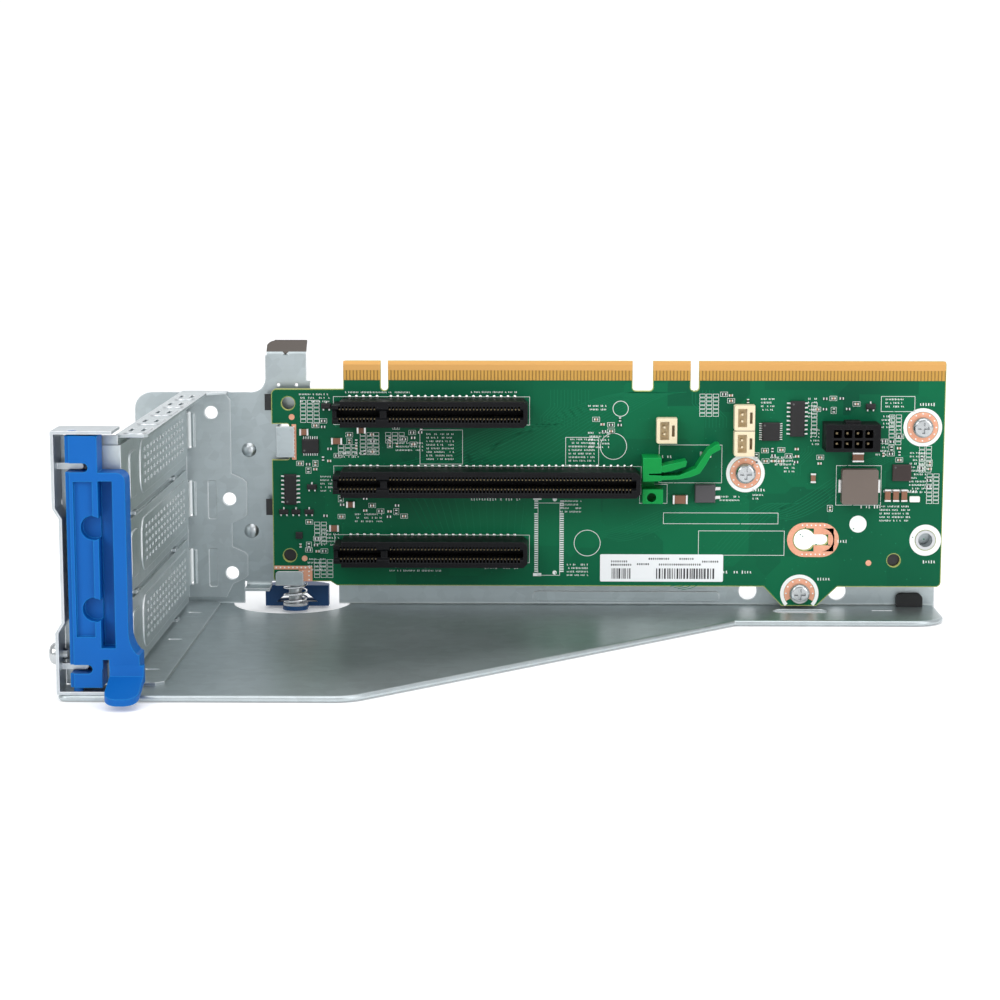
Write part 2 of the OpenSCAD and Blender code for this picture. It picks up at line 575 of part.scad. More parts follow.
// Coil spring between the collar and the bridge of the hook
spring_turns = 2.5;
spring_steps = 20;
spring_sides = 8;
module latch_spring() {
    low = collar_high + spring_wire / 2 + 0.02;
    high = opening_top - spring_wire / 2 - 0.05;
    coil_r = (spring_d - spring_wire) / 2;
    rings = spring_turns * spring_steps;
    points = [for (i = [0:rings], j = [0:spring_sides - 1])
        let (t = i * 360 / spring_steps, s = j * 360 / spring_sides,
            r = coil_r + spring_wire / 2 * cos(s),
            z = low + (high - low) * i / rings + spring_wire / 2 * sin(s))
        [r * cos(t + 200), r * sin(t + 200), z]];
    sides = [for (i = [0:rings - 1], j = [0:spring_sides - 1])
        let (a = i * spring_sides, b = a + spring_sides, k = (j + 1) % spring_sides)
        [a + j, b + j, b + k, a + k]];
    first = [for (j = [0:spring_sides - 1]) j];
    last = [for (j = [spring_sides - 1:-1:0]) rings * spring_sides + j];
    color(tin) in_row() translate([latch_x, latch_y, 0]) polyhedron(points, concat(sides, [first, last]), 3);
}

// ---------------------------------------------------------------- riser board
board_holes = [[30.7, 61.9], [30.7, 17.1], [board_right - 13.9, 16.1]];
keyhole = [board_right - 40, 22.1];
nut_at = [board_right - 4.8, 22.1];
edge_gaps = [[57.7, 59.8], [130.7, 136.6], [147.5, 149.9]];
edge_left = 46.8;
notch_1 = [45.4, 55.9, 30.9];
board_step = opening_top + 1.1;
gap_r = 1;
bevel = [0.4, 1.4];
module board_outline() {
    r = 1.5;
    difference() {
        polygon(concat(
            arc(board_left + 1, board_step + 1, 1, 180, 270, 3), [[42.6, board_step], [44.4, board_bottom],
            [foot_at - 10.5, board_bottom], [foot_at - 5.2, 2.5], [foot_at + 5, 2.5],
            [foot_at + 11, board_bottom]], arc(board_right - r, board_bottom + r, r, 270, 360),
            arc(board_right - 0.7, edge_top - 0.7, 0.7, 0, 90, 3), arc(edge_left + 0.7, edge_top - 0.7, 0.7, 90, 180, 3),
            [[edge_left, board_shoulder]], arc(board_left + r, board_shoulder - r, r, 90, 180)));
        polygon(concat([[board_left - 1, notch_1[0]]], arc(notch_1[2] - 0.6, notch_1[0] + 0.6, 0.6, 270, 360, 3),
            arc(notch_1[2] - 0.6, notch_1[1] - 0.6, 0.6, 0, 90, 3), [[board_left - 1, notch_1[1]]]));
        for (g = edge_gaps) polygon(concat(
            arc(g[0] + gap_r, board_shoulder - 0.4 + gap_r, gap_r, 180, 270),
            arc(g[1] - gap_r, board_shoulder - 0.4 + gap_r, gap_r, 270, 360),
            [[g[1], edge_top + 1], [g[0], edge_top + 1]]));
    }
}

module riser_board() color("#0a6b43") in_row() difference() {
    facing(board_back, board_t) board_outline();
    for (h = board_holes) hole_y(h[0], h[1], 3.8, -1, board_back + 1);
    for (s = screw_places) hole_y(s[0], s[1], 3.4, -1, board_back + 1);
    hole_y(nut_at[0], nut_at[1], 5.9, -1, board_back + 1);
    hole_y(keyhole[0], keyhole[1], 6.2, -1, board_back + 1);
    facing(board_back + 1, board_t + 2) polygon(concat([[keyhole[0], keyhole[1] - 1.6]],
        arc(keyhole[0] + 5.2, keyhole[1], 1.6, 270, 450), [[keyhole[0], keyhole[1] + 1.6]]));
    // Bevel of the card edge
    for (side = [0, 1]) fold_x(board_left, board_right + 1, [for (p = [[-0.1, edge_top - bevel[1]],
        [bevel[0], edge_top + 0.1], [-0.1, edge_top + 0.1]]) [side == 0 ? p[0] : board_back - p[0], p[1]]]);
}

// Gold contacts of the card edge, on both faces
contact_runs = [[46.75, 11], [59.7, 71], [136.55, 11], [149.9, floor((board_right - 150.1) / contact_pitch)]];
contact_t = 0.05;
module edge_contacts() {
    width = contact_pitch * 0.7;
    color(gold) in_row() for (run = contact_runs, k = [0:run[1] - 1], y = [0, board_back + contact_t])
        facing(y, contact_t) translate([run[0] + (k + 0.15) * contact_pitch, board_shoulder + 2.6])
            square([width, edge_h - 2.6 - bevel[1]]);
}

film_t = 0.25;
module insulator_film() color(black) in_row() difference() {
    facing(board_back + film_t, film_t) union() {
        square_from(27, board_right - 2, 13.6, 64.5);
        for (z = [28.8, 59.7]) square_from(board_left - 2.1, 28, z, z + 4.8);
    }
    hole_y(board_holes[0][0], board_holes[0][1], 5, 0, 5);
    hole_y(nut_at[0], nut_at[1], 8, 0, 5);
    for (s = screw_places) hole_y(s[0], s[1], 7, 0, 5);
    facing(5, 5) polygon(round_box(keyhole[0] - 5, keyhole[0] + 9, keyhole[1] - 5, keyhole[1] + 5, 1));
    facing(5, 5) square_from(20, hook_1[1] + 1, hook_1[2] - 1, hook_1[3] + 1);
}

standoff_bore_r = 1.5;
module board_standoffs() color(tin) in_row() for (s = screw_places) difference() {
    union() {
        hole_y(s[0], s[1], 6, board_back, wall_y);
        hole_y(s[0], s[1], standoff_shank_d - 2 * running, wall_y - 0.1, wall_back);
    }
    hole_y(s[0], s[1], standoff_bore_r * 2, 0, wall_back + 1);
}

module board_screws() color(tin) in_row() for (s = screw_places)
    on_board(s[0], s[1]) pan_screw(3, 2, screw_r, wall_back - 1);

nut_bore_r = 2.05;
module insert_nut() color("#8d9396") in_row() difference() {
    union() {
        hole_y(nut_at[0], nut_at[1], 5.9 - 2 * running, -0.1, board_back);
        hole_y(nut_at[0], nut_at[1], 7.4, board_back, board_back + 3.2);
    }
    hole_y(nut_at[0], nut_at[1], nut_bore_r * 2, -1, board_back + 5);
}

// ---------------------------------------------------------------- slots
key_at = 14.6;
function slot_len(i) = i == 1 ? long_slot : short_slot;
function slot_cells(i) = concat([for (k = [0:10]) 1.8 + k],
    [for (k = [0:floor((slot_len(i) - key_at - 4) / contact_pitch)]) key_at + 1.6 + k * contact_pitch]);
cell_w = 0.62;
cell_half = 2.3;
card_half = 0.95;
card_depth = 8.4;
module slot_housing(i) {
    h = slot_w / 2;
    l = slot_len(i);
    color(black) in_row() on_board(slot_x, slot_z + i * slot_pitch) difference() {
        linear_extrude(slot_depth) polygon([[0, -h + 1.1], [2.2, -h + 1.1], [2.2, -h], [l - 1.2, -h], [l, -h + 1.2],
            [l, h - 1.2], [l - 1.2, h], [2.2, h], [2.2, h - 1.1], [0, h - 1.1]]);
        translate([0, 0, slot_depth - card_depth]) linear_extrude(card_depth + 1) union() {
            square_from(1.2, key_at - 0.95, -card_half, card_half);
            square_from(key_at + 0.95, l - 1.2, -card_half, card_half);
        }
        translate([0, 0, slot_depth - card_depth + 1.6]) linear_extrude(card_depth + 1) union()
            for (x = slot_cells(i)) square_from(x, x + cell_w, -cell_half, cell_half);
        // Lead-in along the mouth
        translate([0, 0, slot_depth]) rotate([0, 90, 0]) linear_extrude(l - 1.2)
            polygon([[-0.1, -card_half - 0.7], [0.9, -card_half - 0.01], [0.9, card_half + 0.01], [-0.1, card_half + 0.7]]);
    }
}
module slot_contacts(i) color(gold) in_row() on_board(slot_x, slot_z + i * slot_pitch)
    for (x = slot_cells(i), side = [-1, 1])
        translate([x + 0.1, side > 0 ? 1.2 : -1.6, slot_depth - card_depth + 1.6]) cube([cell_w - 0.2, 0.4, 5.6]);

module lower_slot() slot_housing(0);
module middle_slot() slot_housing(1);
module upper_slot() slot_housing(2);
module lower_slot_contacts() slot_contacts(0);
module middle_slot_contacts() slot_contacts(1);
module upper_slot_contacts() slot_contacts(2);

// Green clip that holds the card's end at the middle slot: a block, a short arm and a long finger arm
clip_rise = 1.7;
module card_clip() {
    z = slot_z + slot_pitch + clip_rise;
    long_arm = [[5.4, -0.4], [11, -0.1], [14.6, 0.6], [17, 1.6], [18.6, 3.9], [20.4, 7.2], [22.9, 8.6],
        [22.6, 10], [21.6, 10], [19.3, 8.4], [17.4, 5.6], [15.8, 3], [11, 1], [5.4, 0.8]];
    short_arm = [[5.4, 2], [7, 1.9], [9, 2.3], [13, 3.6], [13.3, 5], [12.9, 5.2], [5.4, 3.6]];
    color("#10a04a") in_row() on_board(slot_x + long_slot, z) {
        linear_extrude(9.5) polygon([[0.7, 6.1], [0.7, -0.8], [6, -0.6], [6, 0.95], [2.4, 1.1], [2.4, 1.5],
            [6, 1.65], [6, 6.1]]);
        translate([0, 0, 2.4]) linear_extrude(6.9) union() {
            polygon(long_arm);
            polygon(short_arm);
        }
        difference() {
            linear_extrude(8.2) square_from(0.7, 6.6, -7.4, -3.2);
            translate([3.3, -5.6, 3]) cylinder(r = 1.35, h = 8);
        }
        linear_extrude(1.6) square_from(0.7, 4.4, -3.4, -0.6);
    }
}

// ---------------------------------------------------------------- connectors on the board
header_at = [board_right - 35.4, 49.1];
header_size = [15.6, 7.9, 9.4];
header_pitch = 3;
module power_header() color(black) in_row() on_board(header_at[0], header_at[1]) difference() {
    union() {
        cube(header_size);
        translate([5.6, header_size[1] - 0.1, 4]) cube([4.4, 1, 4.6]);
    }
    for (c = [0:3], r = [0:1]) translate([3.3 + c * header_pitch, 2.2 + r * header_pitch, 2])
        linear_extrude(9) polygon(round_box(-1.2, 1.2, -1.2, 1.2, 0.35));
}
module power_header_pins() color(gold) in_row() on_board(header_at[0], header_at[1])
    for (c = [0:3], r = [0:1]) translate([3.3 + c * header_pitch, 2.2 + r * header_pitch, 2])
        translate([-0.32, -0.32, 0]) cube([0.64, 0.64, 5.4]);

clip_at = slot_x + long_slot;
ribbon_places = [[clip_at + 4.8, 50.8], [clip_at + 27.2, 54.6], [clip_at + 27.2, 47.1]];
module ribbon_header(i) color("#efe0c0") in_row() on_board(ribbon_places[i][0], ribbon_places[i][1]) {
    difference() {
        linear_extrude(4.2) polygon([[0, 0.3], [0.5, 0], [5.9, 0], [5.9, 7.3], [0.5, 7.3], [0, 7]]);
        translate([1, 1, 1.2]) cube([2.6, 5.3, 4]);
        translate([4.4, 2, 1.2]) cube([0.8, 3.3, 4]);
    }
    for (y = [2.3, 4.3]) translate([2, y, 1.1]) cube([0.6, 0.6, 2.2]);
}
module ribbon_header_1() ribbon_header(0);
module ribbon_header_2() ribbon_header(1);
module ribbon_header_3() ribbon_header(2);

coil_at = [board_right - 24.6, 38.2];
module inductor() color("#8a7f78") in_row() on_board(coil_at[0], coil_at[1]) {
    translate([0, 0, 0.2]) linear_extrude(3.6) polygon(round_box(-5.2, 5.2, -5.1, 5.1, 0.6));
}
module inductor_terminals() color(tin) in_row() on_board(coil_at[0], coil_at[1])
    for (s = [-1, 1]) translate([s * 5.6 - 0.4, -1.9, 0]) cube([0.8, 3.8, 1.8]);

// A moulded chip body with a drafted top edge: places are x0, x1, z0, z1 and height
module chip(c) {
    on_board(c[0], c[2]) {
        translate([0, 0, 0.1]) cube([c[1] - c[0], c[3] - c[2], c[4] - 0.35]);
        translate([0.15, 0.15, 0.1]) cube([c[1] - c[0] - 0.3, c[3] - c[2] - 0.3, c[4] - 0.1]);
    }
}
clock = [29.4, 32.9, 32.3, 41.2, 1.6];
function from_edge(c) = [board_right - c[0], board_right - c[1], c[2], c[3], c[4], c[5]];
function from_clip(c) = [clip_at + c[0], clip_at + c[1], c[2], c[3], c[4], c[5]];
logic = from_edge([44.8, 40.7, 52.6, 62.9, 1.6]);
switch = from_edge([52.9, 47.8, 51.3, 56.6, 1.1]);
monitor = [34.7, 39.5, 47.4, 51.5, 1.1];
converter = from_edge([14.9, 9.5, 39.6, 44.4, 1]);
transistor = from_clip([16.2, 22.1, 33.3, 38.5, 2.3]);
smalls = [[36, 38.8, 36.7, 38.2, 1.1], [27.8, 30.4, 29.4, 30.8, 1.1], [31.4, 33.9, 29.4, 30.8, 1.1],
    [35.2, 37.8, 29.4, 30.8, 1.1], [40.4, 43.3, 60.4, 62, 1.1], from_edge([23, 20.3, 60.5, 62.1, 1.1]),
    [32.5, 34.5, 22.1, 24.1, 0.8]];
module clock_chip() color(black) in_row() chip(clock);
module logic_chip() color(black) in_row() chip(logic);
module switch_chip() color(black) in_row() chip(switch);
module monitor_chip() color(black) in_row() chip(monitor);
module converter_chip() color(black) in_row() chip(converter);
module power_transistor() color("#3b3a3c") in_row() chip(transistor);
module small_transistors() color(black) in_row() for (c = smalls) chip(c);

// Bent leads: a foot on the board and a short riser against the chip's side
module lead(w, reach, h) {
    translate([0, -w / 2, 0]) cube([reach, w, 0.2]);
    translate([0, -w / 2, 0.1]) cube([0.25, w, h * 0.5]);
}
module lead_row(x, z, count, pitch, turn, w, reach, h)
    for (k = [0:count - 1]) on_board(x + (turn % 180 == 0 ? 0 : (k - (count - 1) / 2) * pitch),
        z + (turn % 180 == 0 ? (k - (count - 1) / 2) * pitch : 0)) rotate([0, 0, turn]) lead(w, reach, h);
function mid(a, b) = (a + b) / 2;
module chip_leads() color(tin) in_row() {
    for (c = [[clock, 7], [logic, 8]], s = [[0, 1], [180, 0]])
        lead_row(c[0][s[1]], mid(c[0][2], c[0][3]), c[1], 1.27, s[0], 0.42, 1, c[0][4]);
    for (s = [[0, 1], [180, 0]]) lead_row(switch[s[1]], mid(switch[2], switch[3]), 8, 0.65, s[0], 0.25, 0.8, 1);
    for (s = [[90, 3], [270, 2]]) lead_row(mid(monitor[0], monitor[1]), monitor[s[1]], 7, 0.65, s[0], 0.25, 0.8, 1);
    lead_row(transistor[1], mid(transistor[2], transistor[3]), 2, 2.6, 0, 0.9, 1.6, 2);
    for (c = [smalls[0], smalls[1], smalls[2], smalls[3], smalls[4], smalls[5]]) {
        lead_row(mid(c[0], c[1]), c[2], 2, 1.7, 270, 0.4, 0.6, 1);
        lead_row(mid(c[0], c[1]), c[3], 1, 1, 90, 0.4, 0.6, 1);
    }
}

// Ceramic capacitors: x0, x1, z0, z1, height and whether the ends are left and right
capacitors = [from_edge([26.7, 23.4, 45.2, 48, 1.6, 0]),
    for (x = [17.1, 14.7, 12.3]) from_edge([x, x - 1.8, 33.6, 37.2, 1.4, 0]),
    from_clip([9.8, 14.1, 32.8, 35.4, 1.6, 1]), [43.2, 46.4, 50, 51.9, 1.2, 1],
    [34, 36.6, 52.6, 54.5, 1.2, 1], from_clip([17.6, 20.8, 46.4, 48, 1, 1]), from_edge([38.6, 37.1, 39, 41.8, 1, 0]),
    [50.7, 53.3, 53.2, 55, 1.2, 1], [47.4, 49.9, 31.4, 33.2, 1.2, 1], [42.4, 45.2, 24.3, 26.2, 1.2, 1]];
end_w = 0.5;
module ceramic_capacitors() color("#8a5a42") in_row() for (c = capacitors) on_board(c[0], c[2])
    if (c[5] == 1) translate([end_w, 0.1, 0]) cube([c[1] - c[0] - 2 * end_w, c[3] - c[2] - 0.2, c[4] - 0.1]);
    else translate([0.1, end_w, 0]) cube([c[1] - c[0] - 0.2, c[3] - c[2] - 2 * end_w, c[4] - 0.1]);
module capacitor_ends() color(tin) in_row() for (c = capacitors, e = [0, 1]) on_board(c[0], c[2])
    if (c[5] == 1) translate([e * (c[1] - c[0] - end_w), 0, 0]) cube([end_w, c[3] - c[2], c[4]]);
    else translate([0, e * (c[3] - c[2] - end_w), 0]) cube([c[1] - c[0], end_w, c[4]]);

module status_led() color("#eef0ea") in_row() on_board(board_right - 9.8, 33.4)
    linear_extrude(0.8) polygon(round_box(0, 3, 0, 1.7, 0.3));

module board_label() color("#f4f4f0") in_row() facing(0, 0.12) polygon(round_box(121.6, 157.6, 9.6, 17.7, 0.4));

cage_frame();
slot_wall();
latch_channel();
slot_blank_1();
slot_blank_2();
slot_blank_3();
wall_rivets();
corner_bumper();
side_screw();
retainer_latch();
latch_knob();
latch_spindle();
latch_collar();
latch_spring();
riser_board();
edge_contacts();
insulator_film();
board_standoffs();
board_screws();
insert_nut();
lower_slot();
middle_slot();
upper_slot();
lower_slot_contacts();
middle_slot_contacts();
upper_slot_contacts();
card_clip();
power_header();
power_header_pins();
ribbon_header_1();
ribbon_header_2();
ribbon_header_3();
inductor();
inductor_terminals();
clock_chip();
logic_chip();
switch_chip();
monitor_chip();
converter_chip();
power_transistor();
small_transistors();
chip_leads();
ceramic_capacitors();
capacitor_ends();
status_led();
board_label();
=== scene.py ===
import math
import bpy
import numpy as np
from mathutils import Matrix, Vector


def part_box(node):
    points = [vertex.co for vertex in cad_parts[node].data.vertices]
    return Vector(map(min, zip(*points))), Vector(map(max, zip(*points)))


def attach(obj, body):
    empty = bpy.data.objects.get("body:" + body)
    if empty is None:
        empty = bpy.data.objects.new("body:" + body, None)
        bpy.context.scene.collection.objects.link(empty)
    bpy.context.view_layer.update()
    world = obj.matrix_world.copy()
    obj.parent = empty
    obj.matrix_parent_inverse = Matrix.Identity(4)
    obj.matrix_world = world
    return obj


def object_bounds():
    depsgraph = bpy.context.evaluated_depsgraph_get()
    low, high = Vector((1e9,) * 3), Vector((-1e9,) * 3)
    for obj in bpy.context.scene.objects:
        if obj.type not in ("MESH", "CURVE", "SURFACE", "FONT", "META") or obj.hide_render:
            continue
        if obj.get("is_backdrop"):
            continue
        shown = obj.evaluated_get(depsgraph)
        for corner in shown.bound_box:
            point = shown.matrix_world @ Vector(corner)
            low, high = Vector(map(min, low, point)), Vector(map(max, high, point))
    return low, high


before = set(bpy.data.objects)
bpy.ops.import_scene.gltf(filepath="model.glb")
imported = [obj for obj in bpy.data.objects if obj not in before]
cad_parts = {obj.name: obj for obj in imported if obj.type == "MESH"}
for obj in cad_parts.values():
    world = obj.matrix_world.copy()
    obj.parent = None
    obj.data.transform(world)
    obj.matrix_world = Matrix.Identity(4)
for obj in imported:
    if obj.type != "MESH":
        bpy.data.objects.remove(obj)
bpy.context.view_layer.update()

# ---------------------------------------------------------------- Camera
# A long lens stands level with the front of the cage, a little above its tab and turned slightly down.
eye = (0.00167, -0.62229, 0.13274)
camera = bpy.data.objects.new("camera", bpy.data.cameras.new("camera"))
camera.data.lens = 84.4
camera.location = eye
camera.rotation_euler = (math.radians(90 - 8.325), 0, math.radians(0.945))
bpy.context.scene.collection.objects.link(camera)
bpy.context.scene.camera = camera

# ---------------------------------------------------------------- Studio floor
# A pale paper sweep: flat under the part, then turned up behind it in one wide curve.


def grid_piece(name, points, closed=False):
    """A surface from a grid of points (rows, columns, 3): neighbouring points join into quads.

    With closed=True the last column joins the first again, as round a tube."""
    rows, columns = points.shape[:2]
    index = np.arange(rows * columns).reshape(rows, columns)
    right = np.roll(index, -1, axis=1) if closed else index[:, 1:]
    left = index if closed else index[:, :-1]
    quads = np.stack([left[:-1], right[:-1], right[1:], left[1:]], axis=-1).reshape(-1, 4)
    mesh = bpy.data.meshes.new(name)
    mesh.from_pydata(points.reshape(-1, 3).tolist(), [], quads.tolist())
    mesh.update()
    piece = bpy.data.objects.new(name, mesh)
    bpy.context.scene.collection.objects.link(piece)
    return piece


def sweep_points(half_width, front, back, height, radius, steps=24):
    """Flat floor, quarter circle, then a wall: y and z along the profile, copied in x."""
    turn = np.linspace(0, np.pi / 2, steps)
    y = np.concatenate([[front], back + radius * np.sin(turn), [back + radius]])
    z = np.concatenate([[0], radius * (1 - np.cos(turn)), [height]])
    x = np.array([-half_width, half_width])
    return np.stack(np.broadcast_arrays(x[None, :], y[:, None], z[:, None]), axis=-1)


def new_finish(name, colour, roughness, metallic=0.0, shine=0.5):
    """A material with one Principled shader and its plain values, and its node tree ready to be added to."""
    finish = bpy.data.materials.new(name)
    finish.use_nodes = True
    shader = finish.node_tree.nodes["Principled BSDF"]
    shader.inputs["Base Color"].default_value = (*colour, 1)
    shader.inputs["Roughness"].default_value = roughness
    shader.inputs["Metallic"].default_value = metallic
    shader.inputs["Specular IOR Level"].default_value = shine
    return finish, finish.node_tree.nodes, finish.node_tree.links, shader


floor = grid_piece("floor", sweep_points(3, -2.5, 0.9, 3, 0.8))
floor.location.z = -0.0002
for face in floor.data.polygons:
    face.use_smooth = True
paper, nodes, links, shader = new_finish("sweep_paper", (0.9, 0.9, 0.905), 0.7)
shader.inputs["Emission Color"].default_value = (1, 1, 1, 1)
shader.inputs["Emission Strength"].default_value = 0.22
floor.data.materials.append(paper)
floor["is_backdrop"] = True

# ---------------------------------------------------------------- Studio lights
# Two large soft boxes in front, left and right, a wide one overhead, and an even pale surrounding.
scene = bpy.context.scene
scene.view_settings.view_transform = "Standard"
surround = bpy.data.worlds.new("surround")
surround.use_nodes = True
surround.node_tree.nodes["Background"].inputs["Color"].default_value = (0.97, 0.985, 1, 1)
surround.node_tree.nodes["Background"].inputs["Strength"].default_value = 0.66
scene.world = surround


def soft_box(name, place, aim, size, power, colour=(1, 1, 1)):
    """A square area light at a place, turned towards the aim."""
    light = bpy.data.lights.new(name, "AREA")
    light.size, light.energy, light.color = size, power, colour
    lamp = bpy.data.objects.new(name, light)
    lamp.location = place
    run = np.array(aim) - np.array(place)
    tilt = math.atan2(math.hypot(run[0], run[1]), -run[2])
    lamp.rotation_euler = (tilt, 0, math.atan2(run[0], -run[1]) + math.pi)
    scene.collection.objects.link(lamp)


soft_box("key_box", (-0.75, -0.95, 0.75), (0, 0, 0.03), 0.7, 7)
soft_box("fill_box", (0.95, -0.9, 0.55), (0, 0, 0.03), 0.8, 5)
soft_box("overhead_box", (0.1, -0.15, 1.1), (0, 0, 0), 1.1, 5.5)

# ---------------------------------------------------------------- Folded steel cage
# The cage is punched and folded from 0.8 mm zinc-coated sheet, with its edges hemmed over. The zinc has
# a faint crystal pattern and fine rolling marks, and its folds and cut edges are painted brighter: partly rubbed wear,
# partly painted highlight.


def start_group(name, inputs, outputs):
    """An empty shader node group with named inputs (name, kind, value) and outputs (name, kind)."""
    group = bpy.data.node_groups.new(name, "ShaderNodeTree")
    for label, kind, value in inputs:
        group.interface.new_socket(label, in_out="INPUT", socket_type="NodeSocket" + kind).default_value = value
    for label, kind in outputs:
        group.interface.new_socket(label, in_out="OUTPUT", socket_type="NodeSocket" + kind)
    return group, group.nodes.new("NodeGroupInput"), group.nodes.new("NodeGroupOutput")


def put(tree, kind, **values):
    """Adds a node to a tree and sets its properties, or its inputs where no property has the name."""
    node = tree.nodes.new("ShaderNode" + kind)
    for key, value in values.items():
        if hasattr(node, key):
            setattr(node, key, value)
        else:
            node.inputs[key.replace("_", " ")].default_value = value
    return node


def zinc_group():
    """Crystal tone from cells, clouds from a slow noise, rolling marks from a noise drawn out in x."""
    group, start, end = start_group("zinc_skin", [
        ("Colour", "Color", (0.4, 0.43, 0.45, 1)), ("Cells", "Float", 300.0), ("Contrast", "Float", 0.1)],
        [("Colour", "Color"), ("Roughness", "Float"), ("Height", "Float")])
    link = group.links.new
    place = put(group, "TexCoord").outputs["Object"]
    cells = put(group, "TexVoronoi", Randomness=1.0)
    link(place, cells.inputs["Vector"]), link(start.outputs["Cells"], cells.inputs["Scale"])
    cloud = put(group, "TexNoise", Scale=14.0, Detail=3.0)
    link(place, cloud.inputs["Vector"])
    drawn = put(group, "Mapping")
    drawn.inputs["Scale"].default_value = (60, 900, 900)
    rolled = put(group, "TexNoise", Scale=1.0, Detail=2.0)
    link(place, drawn.inputs["Vector"]), link(drawn.outputs["Vector"], rolled.inputs["Vector"])
    split = put(group, "SeparateColor")
    link(cells.outputs["Color"], split.inputs["Color"])
    parts = put(group, "Math", operation="ADD")
    link(split.outputs["Red"], parts.inputs[0]), link(cloud.outputs["Fac"], parts.inputs[1])
    total = put(group, "Math", operation="ADD")
    link(parts.outputs[0], total.inputs[0]), link(rolled.outputs["Fac"], total.inputs[1])
    centred = put(group, "Math", operation="SUBTRACT")
    centred.inputs[1].default_value = 1.5
    link(total.outputs[0], centred.inputs[0])
    tone = put(group, "Math", operation="MULTIPLY_ADD")
    tone.inputs[2].default_value = 1.0
    link(centred.outputs[0], tone.inputs[0]), link(start.outputs["Contrast"], tone.inputs[1])
    tinted = put(group, "VectorMath", operation="SCALE")
    link(start.outputs["Colour"], tinted.inputs[0]), link(tone.outputs[0], tinted.inputs["Scale"])
    link(tinted.outputs["Vector"], end.inputs["Colour"])
    rough = put(group, "MapRange")
    for key, value in (("From Min", 0.3), ("From Max", 0.7), ("To Min", 0.3), ("To Max", 0.44)):
        rough.inputs[key].default_value = value
    link(cloud.outputs["Fac"], rough.inputs["Value"]), link(rough.outputs["Result"], end.inputs["Roughness"])
    link(rolled.outputs["Fac"], end.inputs["Height"])
    return group


def edge_group():
    """How far the rounded normal leans away from the face's own: 0 on a flat, 1 on a fold or a cut edge."""
    group, start, end = start_group("edge_lean", [("Gain", "Float", 6.0)], [("Mask", "Float")])
    link = group.links.new
    rounded = group.nodes.new("ShaderNodeBevel")
    rounded.samples = 6
    rounded.inputs["Radius"].default_value = 0.0005
    facing = put(group, "NewGeometry")
    lean = put(group, "VectorMath", operation="DOT_PRODUCT")
    link(rounded.outputs["Normal"], lean.inputs[0]), link(facing.outputs["Normal"], lean.inputs[1])
    away = put(group, "Math", operation="SUBTRACT")
    away.inputs[0].default_value = 1.0
    link(lean.outputs["Value"], away.inputs[1])
    strong = put(group, "Math", operation="MULTIPLY", use_clamp=True)
    link(away.outputs[0], strong.inputs[0]), link(start.outputs["Gain"], strong.inputs[1])
    link(strong.outputs[0], end.inputs["Mask"])
    return group


def add_group(tree, group, **values):
    """Places a shared group in a material's tree with its own values."""
    node = tree.nodes.new("ShaderNodeGroup")
    node.node_tree = group
    for key, value in values.items():
        node.inputs[key].default_value = value
    return node


def add_relief(tree, shader, height, strength, distance, edge_radius=0.0003):
    """Bump from a height over a normal rounded at the edges, into the shader."""
    rounded = tree.nodes.new("ShaderNodeBevel")
    rounded.samples = 6
    rounded.inputs["Radius"].default_value = edge_radius
    bump = put(tree, "Bump", Strength=strength, Distance=distance)
    tree.links.new(rounded.outputs["Normal"], bump.inputs["Normal"])
    tree.links.new(height, bump.inputs["Height"])
    tree.links.new(bump.outputs["Normal"], shader.inputs["Normal"])


zinc_skin = zinc_group()
edge_lean = edge_group()


def zinc_sheet(name, colour, cells, contrast, bright_wear_and_highlight=(0.78, 0.8, 0.82)):
    """Zinc-coated sheet: the zinc skin, with folds and cut edges painted brighter, partly rubbed wear and partly
    painted highlight.
    """
    finish, nodes, links, shader = new_finish(name, colour, 0.38, metallic=0.92)
    tree = finish.node_tree
    skin = add_group(tree, zinc_skin, Colour=(*colour, 1), Cells=cells, Contrast=contrast)
    # The lean mask paints folds and cut edges towards the bright colour: partly rubbed wear, partly painted highlight
    wear_and_highlight = add_group(tree, edge_lean, Gain=5.0)
    mix = put(tree, "Mix", data_type="RGBA")
    mix.inputs[7].default_value = (*bright_wear_and_highlight, 1)
    links.new(wear_and_highlight.outputs["Mask"], mix.inputs[0])
    links.new(skin.outputs["Colour"], mix.inputs[6])
    links.new(mix.outputs[2], shader.inputs["Base Color"])
    links.new(skin.outputs["Roughness"], shader.inputs["Roughness"])
    add_relief(tree, shader, skin.outputs["Height"], 0.12, 0.00005)
    return finish


def dress(node, finish):
    """Gives every material slot of a carried-over node one finish."""
    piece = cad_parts[node]
    if not piece.material_slots:
        piece.data.materials.append(finish)
    for place in piece.material_slots:
        place.material = finish


cage_zinc = zinc_sheet("cage_zinc", (0.46, 0.515, 0.53), 330.0, 0.1)
# The tab's bent lip is painted dark down to its fold, a painted reflection of dark surroundings on its top face, and
# the painted dark dips in a V at the dart in the middle, as the dart's painted shade
tree = cage_zinc.node_tree
shader = tree.nodes["Principled BSDF"]
plain = shader.inputs["Base Color"].links[0].from_socket
axes = put(tree, "SeparateXYZ")
tree.links.new(put(tree, "TexCoord").outputs["Object"], axes.inputs[0])
lip_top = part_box("cage_frame")[1].z - 0.0032
dart_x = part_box("latch_spindle")[0].x / 2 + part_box("latch_spindle")[1].x / 2 - 0.0023
beside = put(tree, "Math", operation="SUBTRACT")
beside.inputs[1].default_value = dart_x
tree.links.new(axes.outputs["X"], beside.inputs[0])
off = put(tree, "Math", operation="ABSOLUTE")
tree.links.new(beside.outputs[0], off.inputs[0])
dart_shade_dip = put(tree, "Math", operation="SUBTRACT", use_clamp=True)
dart_shade_dip.inputs[0].default_value = 0.0009
